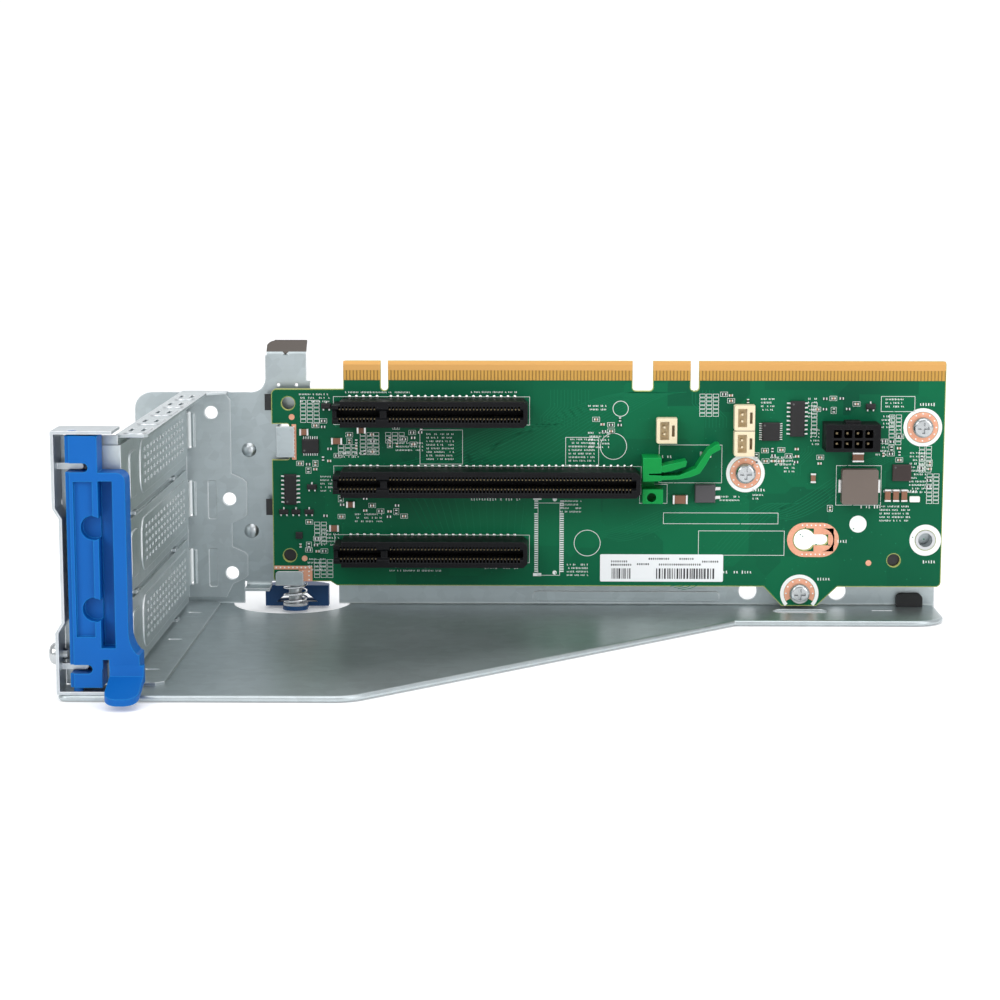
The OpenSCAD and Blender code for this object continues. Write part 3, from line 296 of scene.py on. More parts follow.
tree.links.new(off.outputs[0], dart_shade_dip.inputs[1])
level = put(tree, "Math", operation="ADD")
tree.links.new(axes.outputs["Z"], level.inputs[0]), tree.links.new(dart_shade_dip.outputs[0], level.inputs[1])
lip_painted_dark = put(tree, "Math", operation="GREATER_THAN")
lip_painted_dark.inputs[1].default_value = lip_top
tree.links.new(level.outputs[0], lip_painted_dark.inputs[0])
# Painted dark reflection on the lip and painted shade at the dart, mixed over the zinc colour
mix = put(tree, "Mix", data_type="RGBA")
mix.inputs[7].default_value = (0.1, 0.088, 0.08, 1)
tree.links.new(lip_painted_dark.outputs[0], mix.inputs[0]), tree.links.new(plain, mix.inputs[6])
tree.links.new(mix.outputs[2], shader.inputs["Base Color"])
dress("cage_frame", cage_zinc)

# ---------------------------------------------------------------- Slot wall, channel and blanks
# The slot wall and the channel round the retainer are the same sheet as the cage, riveted and welded to
# it. The three blanks are thinner, brighter sheet, pierced with rows of slits.
wall_zinc = zinc_sheet("wall_zinc", (0.5, 0.55, 0.565), 360.0, 0.1)
blank_zinc = zinc_sheet("blank_zinc", (0.56, 0.615, 0.62), 420.0, 0.08)
dress("slot_wall", wall_zinc)
dress("latch_channel", zinc_sheet("channel_zinc", (0.5, 0.54, 0.56), 320.0, 0.1))
for number in (1, 2, 3):
    dress(f"slot_blank_{number}", blank_zinc)

# ---------------------------------------------------------------- Screws, rivets and standoffs
# Steel fasteners with a bright nickel plate: smooth, with a slightly cloudy shine and rubbed rims.


def plated(name, colour, roughness, cloud=0.12):
    """Bright plate whose roughness drifts with a slow noise."""
    finish, nodes, links, shader = new_finish(name, colour, roughness, metallic=1.0)
    tree = finish.node_tree
    place = put(tree, "TexCoord").outputs["Object"]
    noise = put(tree, "TexNoise", Scale=900.0, Detail=3.0)
    span = put(tree, "MapRange")
    span.inputs["To Min"].default_value = roughness - cloud / 2
    span.inputs["To Max"].default_value = roughness + cloud
    links.new(place, noise.inputs["Vector"]), links.new(noise.outputs["Fac"], span.inputs["Value"])
    links.new(span.outputs["Result"], shader.inputs["Roughness"])
    add_relief(tree, shader, noise.outputs["Fac"], 0.08, 0.00003, 0.00015)
    return finish


nickel = plated("nickel_plate", (0.5, 0.52, 0.53), 0.2)
dress("wall_rivets", plated("rivet_plate", (0.55, 0.58, 0.6), 0.3))
for node in ("side_screw", "board_screws"):
    dress(node, nickel)
for node in ("board_standoffs", "insert_nut"):
    dress(node, plated("turned_steel", (0.6, 0.61, 0.62), 0.28))

# ---------------------------------------------------------------- Blue card retainer
# One moulding in a bright blue engineering plastic, with a fine spark-eroded grain; its edges are painted
# paler, a painted highlight in the lit blue.


def grain_group():
    """Fine moulded grain: two noises, one about twice as coarse, summed to a height and a tone."""
    group, start, end = start_group("mould_grain", [("Scale", "Float", 2500.0)], [
        ("Height", "Float"), ("Tone", "Float")])
    link = group.links.new
    place = put(group, "TexCoord").outputs["Object"]
    fine = put(group, "TexNoise", Detail=2.0)
    slow = put(group, "TexNoise", Scale=40.0, Detail=3.0)
    link(place, fine.inputs["Vector"]), link(start.outputs["Scale"], fine.inputs["Scale"])
    link(place, slow.inputs["Vector"])
    link(fine.outputs["Fac"], end.inputs["Height"]), link(slow.outputs["Fac"], end.inputs["Tone"])
    return group


mould_grain = grain_group()


def moulded(name, colour, wear_and_highlight, roughness=0.42, scale=2500.0, relief=0.15, gain=3.0, spread=0.12, shine=0.3):
    """Moulded plastic: grain in the relief, slow drift in the colour, edges mixed towards a paler colour that stands
    for wear and painted highlight.
    """
    finish, nodes, links, shader = new_finish(name, colour, roughness, shine=shine)
    tree = finish.node_tree
    grain = add_group(tree, mould_grain, Scale=scale)
    edge = add_group(tree, edge_lean, Gain=gain)
    drift = put(tree, "MapRange")
    drift.inputs["To Min"].default_value, drift.inputs["To Max"].default_value = 1 - spread, 1 + spread
    links.new(grain.outputs["Tone"], drift.inputs["Value"])
    body = put(tree, "VectorMath", operation="SCALE")
    body.inputs[0].default_value = colour
    links.new(drift.outputs["Result"], body.inputs["Scale"])
    mix = put(tree, "Mix", data_type="RGBA")
    mix.inputs[7].default_value = (*wear_and_highlight, 1)
    links.new(edge.outputs["Mask"], mix.inputs[0]), links.new(body.outputs["Vector"], mix.inputs[6])
    links.new(mix.outputs[2], shader.inputs["Base Color"])
    rough = put(tree, "MapRange")
    rough.inputs["To Min"].default_value = roughness - 0.06
    rough.inputs["To Max"].default_value = roughness + 0.08
    links.new(grain.outputs["Tone"], rough.inputs["Value"])
    links.new(rough.outputs["Result"], shader.inputs["Roughness"])
    add_relief(tree, shader, grain.outputs["Height"], relief, 0.00004, 0.0004)
    return finish


dress("retainer_latch", moulded("blue_plastic", (0.002, 0.1, 0.38), (0.008, 0.24, 0.6), 0.42, shine=0.16))

# ---------------------------------------------------------------- Half-turn latch
# A navy moulded wing on a turned steel spindle, pressed up by a bright coil spring on a plain collar.
dress("latch_knob", moulded("navy_plastic", (0.004, 0.045, 0.14), (0.02, 0.1, 0.25), 0.45))
dress("latch_spindle", plated("spindle_steel", (0.45, 0.46, 0.47), 0.3))
dress("latch_collar", plated("collar_steel", (0.52, 0.53, 0.54), 0.3))
dress("latch_spring", plated("spring_wire", (0.7, 0.71, 0.73), 0.18))

# ---------------------------------------------------------------- Riser board
# Woven glass laminate under a glossy green mask. The mask lies a little darker over bare laminate than
# over copper, the weave shows faintly, and the routed edges are bare and yellowish.
board_low, board_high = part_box("riser_board")
face_y = board_low.y
wall_x = board_low.x - 0.0258
base_z = board_low.z - 0.0025


def board_mask_finish():
    finish, nodes, links, shader = new_finish("board_mask", (0.003, 0.12, 0.05), 0.36, shine=0.1)
    tree = finish.node_tree
    place = put(tree, "TexCoord").outputs["Object"]
    pours = put(tree, "TexVoronoi", feature="F1", distance="CHEBYCHEV", Scale=46.0)
    links.new(place, pours.inputs["Vector"])
    split = put(tree, "SeparateColor")
    links.new(pours.outputs["Color"], split.inputs["Color"])
    cloud = put(tree, "TexNoise", Scale=16.0, Detail=2.0)
    links.new(place, cloud.inputs["Vector"])
    both = put(tree, "Math", operation="MULTIPLY_ADD")
    both.inputs[1].default_value = 0.35
    links.new(split.outputs["Green"], both.inputs[0]), links.new(cloud.outputs["Fac"], both.inputs[2])
    ramp = put(tree, "MapRange")
    for key, value in (("From Min", 0.35), ("From Max", 0.95), ("To Min", 0.0), ("To Max", 1.0)):
        ramp.inputs[key].default_value = value
    links.new(both.outputs[0], ramp.inputs["Value"])
    mask = put(tree, "Mix", data_type="RGBA")
    mask.inputs[6].default_value = (0.002, 0.075, 0.036, 1)
    mask.inputs[7].default_value = (0.003, 0.135, 0.055, 1)
    links.new(ramp.outputs["Result"], mask.inputs[0])
    # Bare laminate wherever the face looks along the board instead of out of it
    normal = put(tree, "NewGeometry")
    axes = put(tree, "SeparateXYZ")
    links.new(normal.outputs["True Normal"], axes.inputs[0])
    out = put(tree, "Math", operation="ABSOLUTE")
    links.new(axes.outputs["Y"], out.inputs[0])
    side = put(tree, "Math", operation="LESS_THAN")
    side.inputs[1].default_value = 0.5
    links.new(out.outputs[0], side.inputs[0])
    edge = put(tree, "Mix", data_type="RGBA")
    edge.inputs[7].default_value = (0.5, 0.52, 0.16, 1)
    # The mask stops a little short of every cut edge and leaves a thin bare margin on the faces
    margin = add_group(tree, edge_lean, Gain=14.0)
    bare = put(tree, "Math", operation="MAXIMUM")
    links.new(side.outputs[0], bare.inputs[0]), links.new(margin.outputs["Mask"], bare.inputs[1])
    links.new(bare.outputs[0], edge.inputs[0]), links.new(mask.outputs[2], edge.inputs[6])
    links.new(edge.outputs[2], shader.inputs["Base Color"])
    threads = put(tree, "TexWave", Scale=900.0, Distortion=0.4)
    links.new(place, threads.inputs["Vector"])
    add_relief(tree, shader, threads.outputs["Fac"], 0.03, 0.00003, 0.0001)
    return finish


dress("riser_board", board_mask_finish())


def at(x, z, lift=0.0):
    """Places on the board's face, in metres, from millimetres beside the slot wall and above the base."""
    x, z = np.asarray(x, float), np.asarray(z, float)
    return np.stack(np.broadcast_arrays(wall_x + x / 1000, face_y - lift, base_z + z / 1000), axis=-1)


def sheet_piece(name, points, faces, finish, slot):
    """A thin printed or plated layer on the board: many small flat faces in one piece."""
    mesh = bpy.data.meshes.new(name)
    mesh.from_pydata(points.reshape(-1, 3).tolist(), [], faces.reshape(-1, faces.shape[-1]).tolist())
    mesh.update()
    mesh.materials.append(finish)
    piece = bpy.data.objects.new(name, mesh)
    scene.collection.objects.link(piece)
    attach(piece, "cage")
    return piece


def stroke(path, width, lift):
    """A flat line of a width along a path of (x, z) millimetres: the two sides lie square to the local run.

    Returns points and quads. path has the shape (lines, points, 2), so that like lines are made at once."""
    path = np.asarray(path, float)
    run = np.gradient(path, axis=1)
    run /= np.linalg.norm(run, axis=-1, keepdims=True) + 1e-12
    square = np.stack([-run[..., 1], run[..., 0]], axis=-1) * width / 2
    sides = np.stack([path + square, path - square], axis=2)
    lines, count = path.shape[:2]
    first = (np.arange(lines)[:, None] * count + np.arange(count - 1)[None, :]) * 2
    quads = np.stack([first, first + 2, first + 3, first + 1], axis=-1).reshape(-1, 4)
    return at(sides[..., 0], sides[..., 1], lift).reshape(-1, 3), quads


def ring(x, z, inner, outer, lift, steps=40, start=0, end=360):
    """A flat ring, or part of one: two circles about a centre joined by quads."""
    turn = np.radians(np.linspace(start, end, steps + 1))
    radii = np.array([outer, inner])[:, None]
    points = at(x + radii * np.cos(turn), z + radii * np.sin(turn), lift)
    k = np.arange(steps)
    return points.reshape(-1, 3), np.stack([k, k + 1, k + steps + 2, k + steps + 1], axis=-1)


def box_marks(x, z, wide, high, lift):
    """Filled rectangles of millimetre sizes about their centres, as one array of quads."""
    x, z, wide, high = (np.asarray(v, float) for v in np.broadcast_arrays(x, z, wide, high))
    cx = np.stack([x - wide / 2, x + wide / 2, x + wide / 2, x - wide / 2], axis=-1)
    cz = np.stack([z - high / 2, z - high / 2, z + high / 2, z + high / 2], axis=-1)
    return at(cx, cz, lift).reshape(-1, 3), np.arange(x.size * 4).reshape(-1, 4)


def frames(x, z, wide, high, line, lift):
    """Outlined rectangles: four thin bars each, about the centres."""
    x, z, wide, high = (np.asarray(v, float).ravel() for v in np.broadcast_arrays(x, z, wide, high))
    bars = [box_marks(x, z + side * high / 2, wide + line, line, lift) for side in (1, -1)]
    bars += [box_marks(x + side * wide / 2, z, line, high - line, lift) for side in (-1, 1)]
    return gather(bars)


def gather(parts):
    """Joins (points, faces) pairs into one pair, with the faces' numbers moved on."""
    counts = np.cumsum([0] + [len(p) for p, f in parts[:-1]])
    return np.concatenate([p for p, f in parts]), np.concatenate([f + c for (p, f), c in zip(parts, counts)])


# ---------------------------------------------------------------- Copper under the mask
# Etched tracks that stand up a few hundredths through the mask: fans of curves between the slots and
# straight runs with short diagonals from the card edge to the parts.
track_mask, nodes, links, shader = new_finish("track_mask", (0.004, 0.15, 0.065), 0.34, shine=0.12)
tree = track_mask.node_tree
cloud = put(tree, "TexNoise", Scale=60.0, Detail=2.0)
tint = put(tree, "MapRange")
tint.inputs["To Min"].default_value, tint.inputs["To Max"].default_value = 0.22, 0.4
links.new(put(tree, "TexCoord").outputs["Object"], cloud.inputs["Vector"])
links.new(cloud.outputs["Fac"], tint.inputs["Value"])
links.new(tint.outputs["Result"], shader.inputs["Roughness"])


def fan(x0, z0, x1, z1, count, gap_0, gap_1, points=14):
    """Curves that leave a row at one gap and arrive at another: x runs evenly, z follows a smooth step."""
    t = np.linspace(0, 1, points)[None, :]
    k = np.arange(count)[:, None]
    rise = t * t * (3 - 2 * t)
    x = x0 + (x1 - x0) * t + k * (gap_0 * (1 - t) + gap_1 * t)
    z = z0 + (z1 - z0) * rise - k * 0.35 * (1 - rise)
    return np.stack([x, z], axis=-1)


def dogleg(x0, z0, z1, z2, side, count, gap):
    """Straight runs with one diagonal: up from z0 to z1, across by side, then up to z2."""
    k = np.arange(count)[:, None] * gap
    x = x0 + k + np.array([0, 0, side, side])
    z = np.broadcast_to(np.array([z0, z1, z1 + abs(side), z2]), x.shape)
    return np.stack([x, z], axis=-1)


tracks = [stroke(path, 0.16, 0.00002) for path in (
    fan(70, 44.2, 132, 65.4, 14, 1.9, 1.1), fan(60, 44.2, 98, 56, 9, 1.3, 1.6), fan(72, 24, 64, 35.2, 16, 1.7, 2.4),
    fan(140, 8.9, 172, 33, 6, 1.1, 1.5), fan(168, 30, 205, 47, 7, 1.2, 1.2), fan(118, 24, 150, 33, 8, 1.2, 1.4),
    dogleg(104, 55, 58, 66, 3, 12, 1.0), dogleg(176, 41, 44, 49, 4, 5, 0.9), dogleg(40, 10, 14, 26, 3, 5, 0.8),
    dogleg(152, 55, 58, 66, -4, 7, 1.0), dogleg(203, 45, 48, 60, 3, 5, 1.0))]
sheet_piece("board_tracks", *gather(tracks), track_mask, "board")

# ---------------------------------------------------------------- Printed marks
# One screen-printed layer of white ink: outlines of parts, ticks, rings, blank panels and filled dots.
ink, nodes, links, shader = new_finish("white_ink", (0.8, 0.82, 0.8), 0.55)
tree = ink.node_tree
speck = put(tree, "TexNoise", Scale=1500.0, Detail=2.0)
fade = put(tree, "MapRange")
fade.inputs["To Min"].default_value, fade.inputs["To Max"].default_value = 0.45, 0.75
links.new(put(tree, "TexCoord").outputs["Object"], speck.inputs["Vector"])
links.new(speck.outputs["Fac"], fade.inputs["Value"])
links.new(fade.outputs["Result"], shader.inputs["Roughness"])
ink_lift = 0.00003

# The foot screw sits low on the board's tongue, so its rings are open towards the base
screw_spots = ((163.7, 41.7), (214.8, 55.2), (180.0, 6.2))
foot_z = 6.2
marks = []
# White rings round the three screws, the nut and the round panels
for x, z in screw_spots:
    marks.append(ring(x, z, 4.55, 5.6, ink_lift, 48, *((0, 360) if z > foot_z else (-42, 222))))
marks.append(ring(216.4, 22.1, 3.1, 4.6, ink_lift, 48))
for x, z, r in ((125.3, 49.5, 3.9), (117.8, 21.0, 3.9), (127.3, 60.5, 2.3)):
    marks.append(ring(x, z, r - 0.16, r, ink_lift, 40))
marks.append(ring(196.7, 26.8, 0.0, 2.5, ink_lift, 32))
# Blank panels, the outlines round the clip, the slots, the chips and the empty footprint
marks.append(frames([156.7, 162.8, 106.6, 116.2, 147.7, 137.0, 196.6, 207.5, 75.2],
                    [28.4, 21.1, 22.1, 48.0, 44.4, 35.6, 38.2, 62.0, 49.2],
                    [33.4, 25.0, 6.4, 9.6, 18.2, 8.0, 13.0, 9.7, 12.4],
                    [3.2, 7.2, 21.4, 8.2, 11.1, 5.6, 11.6, 4.4, 10.0], 0.13, ink_lift))
marks.append(frames([72.4, 88.6, 72.4], [19.2, 39.5, 59.8], [57.0, 89.6, 57.0], [8.2, 8.2, 8.2], 0.12, ink_lift))


def ladders(boxes, cell=(1.55, 0.86), step=(1.95, 1.12)):
    """Outlines of tiny parts in rows and columns, each box filled with as many as it holds."""
    rows = []
    for x0, x1, z0, z1 in boxes:
        x, z = np.meshgrid(np.arange(x0 + step[0] / 2, x1, step[0]), np.arange(z0 + step[1] / 2, z1, step[1]))
        rows.append(frames(x, z, *cell, 0.11, ink_lift))
    return gather(rows)


# Packed rows of empty places for tiny parts, and their pads
empty_rows = [(34.1, 40.1, 56.2, 62.8), (51.4, 57.4, 46.8, 53.6), (37.6, 43.8, 10.4, 15.6), (37.8, 42.2, 20.4, 26.8),
              (150.0, 156.4, 58.2, 64.6), (182.4, 184.9, 52.4, 62.4), (204.9, 209.2, 50.0, 58.9),
              (213.8, 218.6, 42.0, 49.8), (216.2, 220.4, 32.8, 41.6), (45.0, 51.0, 46.6, 50.0), (58.8, 64.6, 50.2, 54.0)]
marks.append(ladders(empty_rows))


# Pads of the empty footprint: two columns of short ticks with a wider one at each end
for x in (102.9, 110.4):
    marks.append(box_marks(x, np.linspace(12.6, 29.6, 27), 1.1, 0.34, ink_lift))
    marks.append(box_marks(x, np.linspace(31.4, 33.4, 4), 1.1, 0.34, ink_lift))
marks.append(box_marks([103.2, 103.2], [34.2, 11.6], 2.4, 0.9, ink_lift))
for x, z in ((108.3, 33.9), (108.3, 12.2)):
    marks.append(ring(x, z, 0.0, 0.62, ink_lift, 16))

# Short ticks that stand for printed part marks beside the parts
rng = np.random.default_rng(11)


def mark_words(boxes, size=0.55):
    """Rows of small upright ticks in each box: the gaps and heights vary a little, as print does."""
    rows = []
    for x0, x1, z0, z1 in boxes:
        for z in np.arange(z0, z1, size * 1.9):
            x = np.arange(x0, x1, size * 0.82)
            keep = rng.random(x.size) > 0.22
            x = x[keep]
            stroke_w = 0.22 * size + 0.1 * rng.random(x.size)
            stroke_h = size * (0.6 + 0.4 * rng.random(x.size))
            rows.append(box_marks(x, z + size / 2, stroke_w, stroke_h, ink_lift))
            rows.append(box_marks(x[::2] + 0.15, z + size * 0.2, 0.3 * size, 0.14, ink_lift))
    return gather(rows)


marks.append(mark_words([
    (34, 43, 62.2, 64.6), (47, 66, 64.9, 65.6), (84, 98, 65.0, 66.0), (118, 124, 49, 53.6), (118, 123, 60, 61.6),
    (40, 46, 36, 41), (40, 45, 20, 24.6), (36, 41, 12.6, 16), (50, 58, 27, 30), (62, 70, 48, 50.8), (46, 52, 46, 48),
    (156, 162, 33.5, 34.6), (166, 169, 34, 35.4), (175, 178, 42, 47), (182.5, 185, 50, 55), (203, 206.5, 55, 58.6),
    (71, 79, 45.4, 53.4), (112.4, 120, 45, 51.4), (204, 209, 61, 63.6), (203, 212, 27.6, 31.8),
     (211.4, 216, 36, 48), (171, 176, 44, 47), (168, 172, 60, 64), (181.6, 184, 58, 64),
    (201.5, 205, 47, 52), (110, 116, 30, 34), (112, 118, 11.2, 14.4), (60, 75, 12.4, 14)]))
marks.append(mark_words([(150, 166, 12.0, 12.6), (88, 98, 13.2, 14.4), (84, 99, 33.4, 34.6), (204, 214, 36, 36.4),
                         (166, 170, 36.3, 37.2), (197.5, 203, 31.4, 32.2), (216, 219.6, 15.2, 16.4), (184.6, 188.6, 10, 11),
                         (191, 194.6, 21.2, 22.4), (138, 142, 46, 47.2), (214, 218, 61.4, 62.6)], 0.95))
sheet_piece("board_print", *gather(marks), ink, "label_white")

# ---------------------------------------------------------------- Bare copper and solder
# Copper left open by the mask: rings under the screw heads, the keyhole's field, a corner patch, aiming
# dots. The rings and fields carry rows of tinned through-holes, and each slot shows a row of pin tails.
copper, nodes, links, shader = new_finish("bare_copper", (0.75, 0.34, 0.2), 0.4, metallic=0.35)
tree = copper.node_tree
stain = put(tree, "TexNoise", Scale=500.0, Detail=4.0)
tone = put(tree, "Mix", data_type="RGBA")
tone.inputs[6].default_value, tone.inputs[7].default_value = (0.66, 0.27, 0.16, 1), (0.86, 0.46, 0.31, 1)
links.new(put(tree, "TexCoord").outputs["Object"], stain.inputs["Vector"])
links.new(stain.outputs["Fac"], tone.inputs[0]), links.new(tone.outputs[2], shader.inputs["Base Color"])
copper_lift = 0.00002


def capsule_field(x, z, half_run, inner, outer, steps=20):
    """A ring stretched along x: two half circles with straight sides between, joined by quads."""
    turn = np.radians(np.concatenate([np.linspace(-90, 90, steps), np.linspace(90, 270, steps), [-90]]))
    shift = np.concatenate([np.full(steps, half_run), np.full(steps, -half_run), [half_run]])
    rim = [at(x + shift * s + r * np.cos(turn), z + r * np.sin(turn), copper_lift) for r, s in ((outer, 1), (inner, 1))]
    k = np.arange(turn.size - 1)
    return np.concatenate(rim), np.stack([k, k + 1, k + turn.size + 1, k + turn.size], axis=-1)


fields = [ring(x, z, 1.75, 4.45, copper_lift, 48, *((0, 360) if z > foot_z else (-30, 210)))
          for x, z in screw_spots]
fields.append(capsule_field(183.7, 22.1, 2.5, 3.4, 5.05))
fields.append(box_marks([186.8, 186.8, 189.0], [24.6, 19.6, 22.1], [5.8, 5.8, 1.8], [1.8, 1.8, 3.3], copper_lift))
fields.append(box_marks([31.6, 35.2, 32.3], [13.45, 11.2, 50.6], [11.2, 4.0, 1.3], [1.1, 3.6, 10.4], copper_lift))
fields += [ring(x, z, 0.0, 0.85, copper_lift, 20) for x, z in ((31.7, 57.9), (35.0, 16.2), (200.0, 15.3))]
sheet_piece("board_copper", *gather(fields), copper, "gold")

solder = plated("bright_solder", (0.82, 0.82, 0.8), 0.3)


def domes(x, z, radius, height, lift):
    """Low solder domes: a rim of eight points on the board, a smaller rim above it and a top point."""
    turn = np.radians(np.arange(0, 360, 45))
    x, z = np.asarray(x, float)[:, None], np.asarray(z, float)[:, None]
    rim = at(x + radius * np.cos(turn), z + radius * np.sin(turn), lift)
    upper = at(x + radius * 0.6 * np.cos(turn), z + radius * 0.6 * np.sin(turn), lift + height * 0.8)
    top = at(x, z, lift + height)
    points = np.concatenate([rim, upper, top], axis=1)
    k, base = np.arange(8), np.arange(x.size)[:, None] * 17
    after = (k + 1) % 8
    sides = np.stack([base + k, base + after, base + after + 8, base + k + 8], axis=-1).reshape(-1, 4)
    caps = np.stack([base + k + 8, base + after + 8, base + 16 + 0 * k, base + 16 + 0 * k], axis=-1).reshape(-1, 4)
    return points.reshape(-1, 3), sides, caps[:, :3]


def solder_piece(name, x, z, radius, height, finish):
    """Solder domes as one smooth piece; the caps are triangles."""
    points, sides, caps = domes(x, z, radius, height, 0.00001)
    mesh = bpy.data.meshes.new(name)
    mesh.from_pydata(points.tolist(), [], sides.tolist() + caps.tolist())
    mesh.update()
    mesh.polygons.foreach_set("use_smooth", np.ones(len(mesh.polygons), bool))
    mesh.materials.append(finish)
    piece = bpy.data.objects.new(name, mesh)
    scene.collection.objects.link(piece)
    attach(piece, "cage")


def slot_tails(first, count, z):
    """Pin tails above a slot: ten in the short key section, a gap, then the rest, two millimetres apart."""
    x = first + 2.0 * np.arange(count)
    x = x[(x < first + 9) | (x > first + 11)]
    return x, np.full(x.size, z)


tails = [slot_tails(48.6, 25, 63.9), slot_tails(48.6, 42, 43.6), slot_tails(48.6, 25, 23.3)]
solder_piece("slot_tails", np.concatenate([t[0] for t in tails]), np.concatenate([t[1] for t in tails]), 0.52, 0.0003,
             solder)
via_r, via_radius = 3.9, 0.25
turn = np.radians(np.arange(0, 360, 30))
turns = [turn, turn, turn[turn < 3.2]]
via_x = np.concatenate([*(x + via_r * np.cos(t) for (x, z), t in zip(screw_spots, turns)),
                        np.linspace(180.6, 187, 6), np.linspace(180.6, 187, 6), np.linspace(26.6, 36.4, 9),
                        np.tile([34.4, 36.2], 3), np.full(9, 32.3)])
via_z = np.concatenate([*(z + via_r * np.sin(t) for (x, z), t in zip(screw_spots, turns)),
                        np.full(6, 26.4), np.full(6, 17.8), np.full(9, 13.45),
                        np.repeat([12.3, 11.1, 9.9], 2), np.linspace(46.2, 55, 9)])
solder_piece("field_vias", via_x, via_z, via_radius, 0.0001, solder)
spread = rng.random((260, 2)) * (178, 54) + (38, 10)
solder_piece("board_vias", spread[:, 0], spread[:, 1], 0.22, 0.00006, track_mask)

# ---------------------------------------------------------------- Plated card edge
# Under the contacts the card edge is plated dark between the strips, and its bevel is one pale smooth band.
edge_runs = [(46.8, 57.7), (59.8, 130.7), (136.6, 147.5), (149.9, (board_high.x - wall_x) * 1000 - 0.1)]
edge_z = (board_high.z - base_z) * 1000
contact_z = (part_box("edge_contacts")[0].z - base_z) * 1000


def edge_band(rows, lifts):
    """A band along the card edge: one strip of quads per run, its rows at heights and lifts."""
    bands = []
    for x0, x1 in edge_runs:
        x, z = np.meshgrid([x0 + 0.05, x1 - 0.05], rows)
        points = at(x, z, np.array(lifts)[:, None]).reshape(-1, 3)
        k = np.arange(len(rows) - 1)[:, None] * 2
        bands.append((points, np.concatenate([k, k + 1, k + 3, k + 2], axis=1)))
    return gather(bands)


pale_gold, nodes, links, shader = new_finish("bevel_gold", (0.66, 0.36, 0.11), 0.45, metallic=0.6)
dark_gold, nodes, links, shader = new_finish("gap_gold", (0.3, 0.17, 0.04), 0.5, metallic=0.5)
sheet_piece("edge_bevel", *edge_band([edge_z - 2.75, edge_z - 1.1, edge_z - 0.04], [0.00009, 0.00009, -0.0003]),
            pale_gold, "gold")
sheet_piece("edge_gaps", *edge_band([contact_z, edge_z - 2.7], [0.00001, 0.00001]), dark_gold, "gold")

# ---------------------------------------------------------------- Small parts on the board
# Chip resistors and capacitors too small to count: a ceramic body between two tinned ends, each soldered
# on its own pads, in loose groups beside the chips and the slots.


def tiny_parts(boxes, pitch_x, pitch_z, keep):
    """Places on a loose grid in each box, some left out, each lying along x or upright."""
    spots = []
    for x0, x1, z0, z1 in boxes:
        x, z = np.meshgrid(np.arange(x0, x1, pitch_x), np.arange(z0, z1, pitch_z))
        spot = np.stack([x.ravel(), z.ravel()], axis=-1)
        spot += rng.uniform(-0.25, 0.25, spot.shape)
        spots.append(spot[rng.random(len(spot)) < keep])
    return np.concatenate(spots)


def bricks(x, z, wide, high, low, top):
    """Closed boxes standing on the board: eight corners and six outward faces each."""
    x, z, wide, high = np.broadcast_arrays(*(np.asarray(v, float) for v in (x, z, wide, high)))
    sx, sz = np.array([-1, 1, 1, -1]) / 2, np.array([-1, -1, 1, 1]) / 2
    cx, cz = x[:, None] + sx * wide[:, None], z[:, None] + sz * high[:, None]
    points = np.concatenate([at(cx, cz, low / 1000), at(cx, cz, top / 1000)], axis=1)
    faces = np.array([[4, 5, 6, 7], [3, 2, 1, 0], [0, 1, 5, 4], [1, 2, 6, 5], [2, 3, 7, 6], [3, 0, 4, 7]])
    return points.reshape(-1, 3), (faces[None] + np.arange(x.size)[:, None, None] * 8).reshape(-1, 4)


spots = tiny_parts([(34, 43, 53.6, 58.6), (40.2, 46, 45, 49), (34, 42.6, 42.4, 46.2), (36.5, 43, 25.5, 29),
                    (34, 43, 18.5, 22), (46, 60, 47.6, 55.2), (46, 66, 27, 34), (60, 72, 50, 56),
                    (157, 166, 62.8, 65), (181.8, 200, 58.6, 65), (203.6, 210, 45.8, 53), (183, 187, 43, 47.6),
                    (167, 182, 45.2, 49), (212.4, 218, 38, 47), (186, 190, 29.6, 33), (120, 131, 54, 58)], 2.3, 1.7, 0.42)
apart = np.ones(len(spots), bool)
for node in ("monitor_chip", "clock_chip", "ceramic_capacitors", "logic_chip", "switch_chip", "card_clip", "chip_leads",
             "small_transistors", "converter_chip", "power_header", "inductor", "inductor_terminals", "status_led"):
    pts = np.array([v.co[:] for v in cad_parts[node].data.vertices])
    px, pz = (pts[:, 0] - wall_x) * 1000, (pts[:, 2] - base_z) * 1000
    near = (np.abs(px[None] - spots[:, :1]) < 1.5) & (np.abs(pz[None] - spots[:, 1:]) < 1.2)
    apart &= ~near.any(axis=1)
for x0, x1, z0, z1 in ((34.7, 39.5, 47.4, 51.5), (176.4, 180.5, 52.6, 62.9), (168.3, 173.4, 51.3, 56.6),
                       (185.8, 201.4, 49.1, 57.8), (206.3, 211.7, 39.6, 44.4), (29.4, 32.9, 32.3, 41.2)):
    apart &= ~((spots[:, 0] > x0 - 1.4) & (spots[:, 0] < x1 + 1.4) & (spots[:, 1] > z0 - 1) & (spots[:, 1] < z1 + 1))
spots = spots[apart]
flat = rng.random(len(spots)) < 0.65
long_side, short_side = 1.15, 0.6
body_share, body_top, end_top, end_inset = 0.62, 0.42, 0.45, 0.14
wide, high = np.where(flat, long_side, short_side), np.where(flat, short_side, long_side)
dark = rng.random(len(spots)) < 0.5
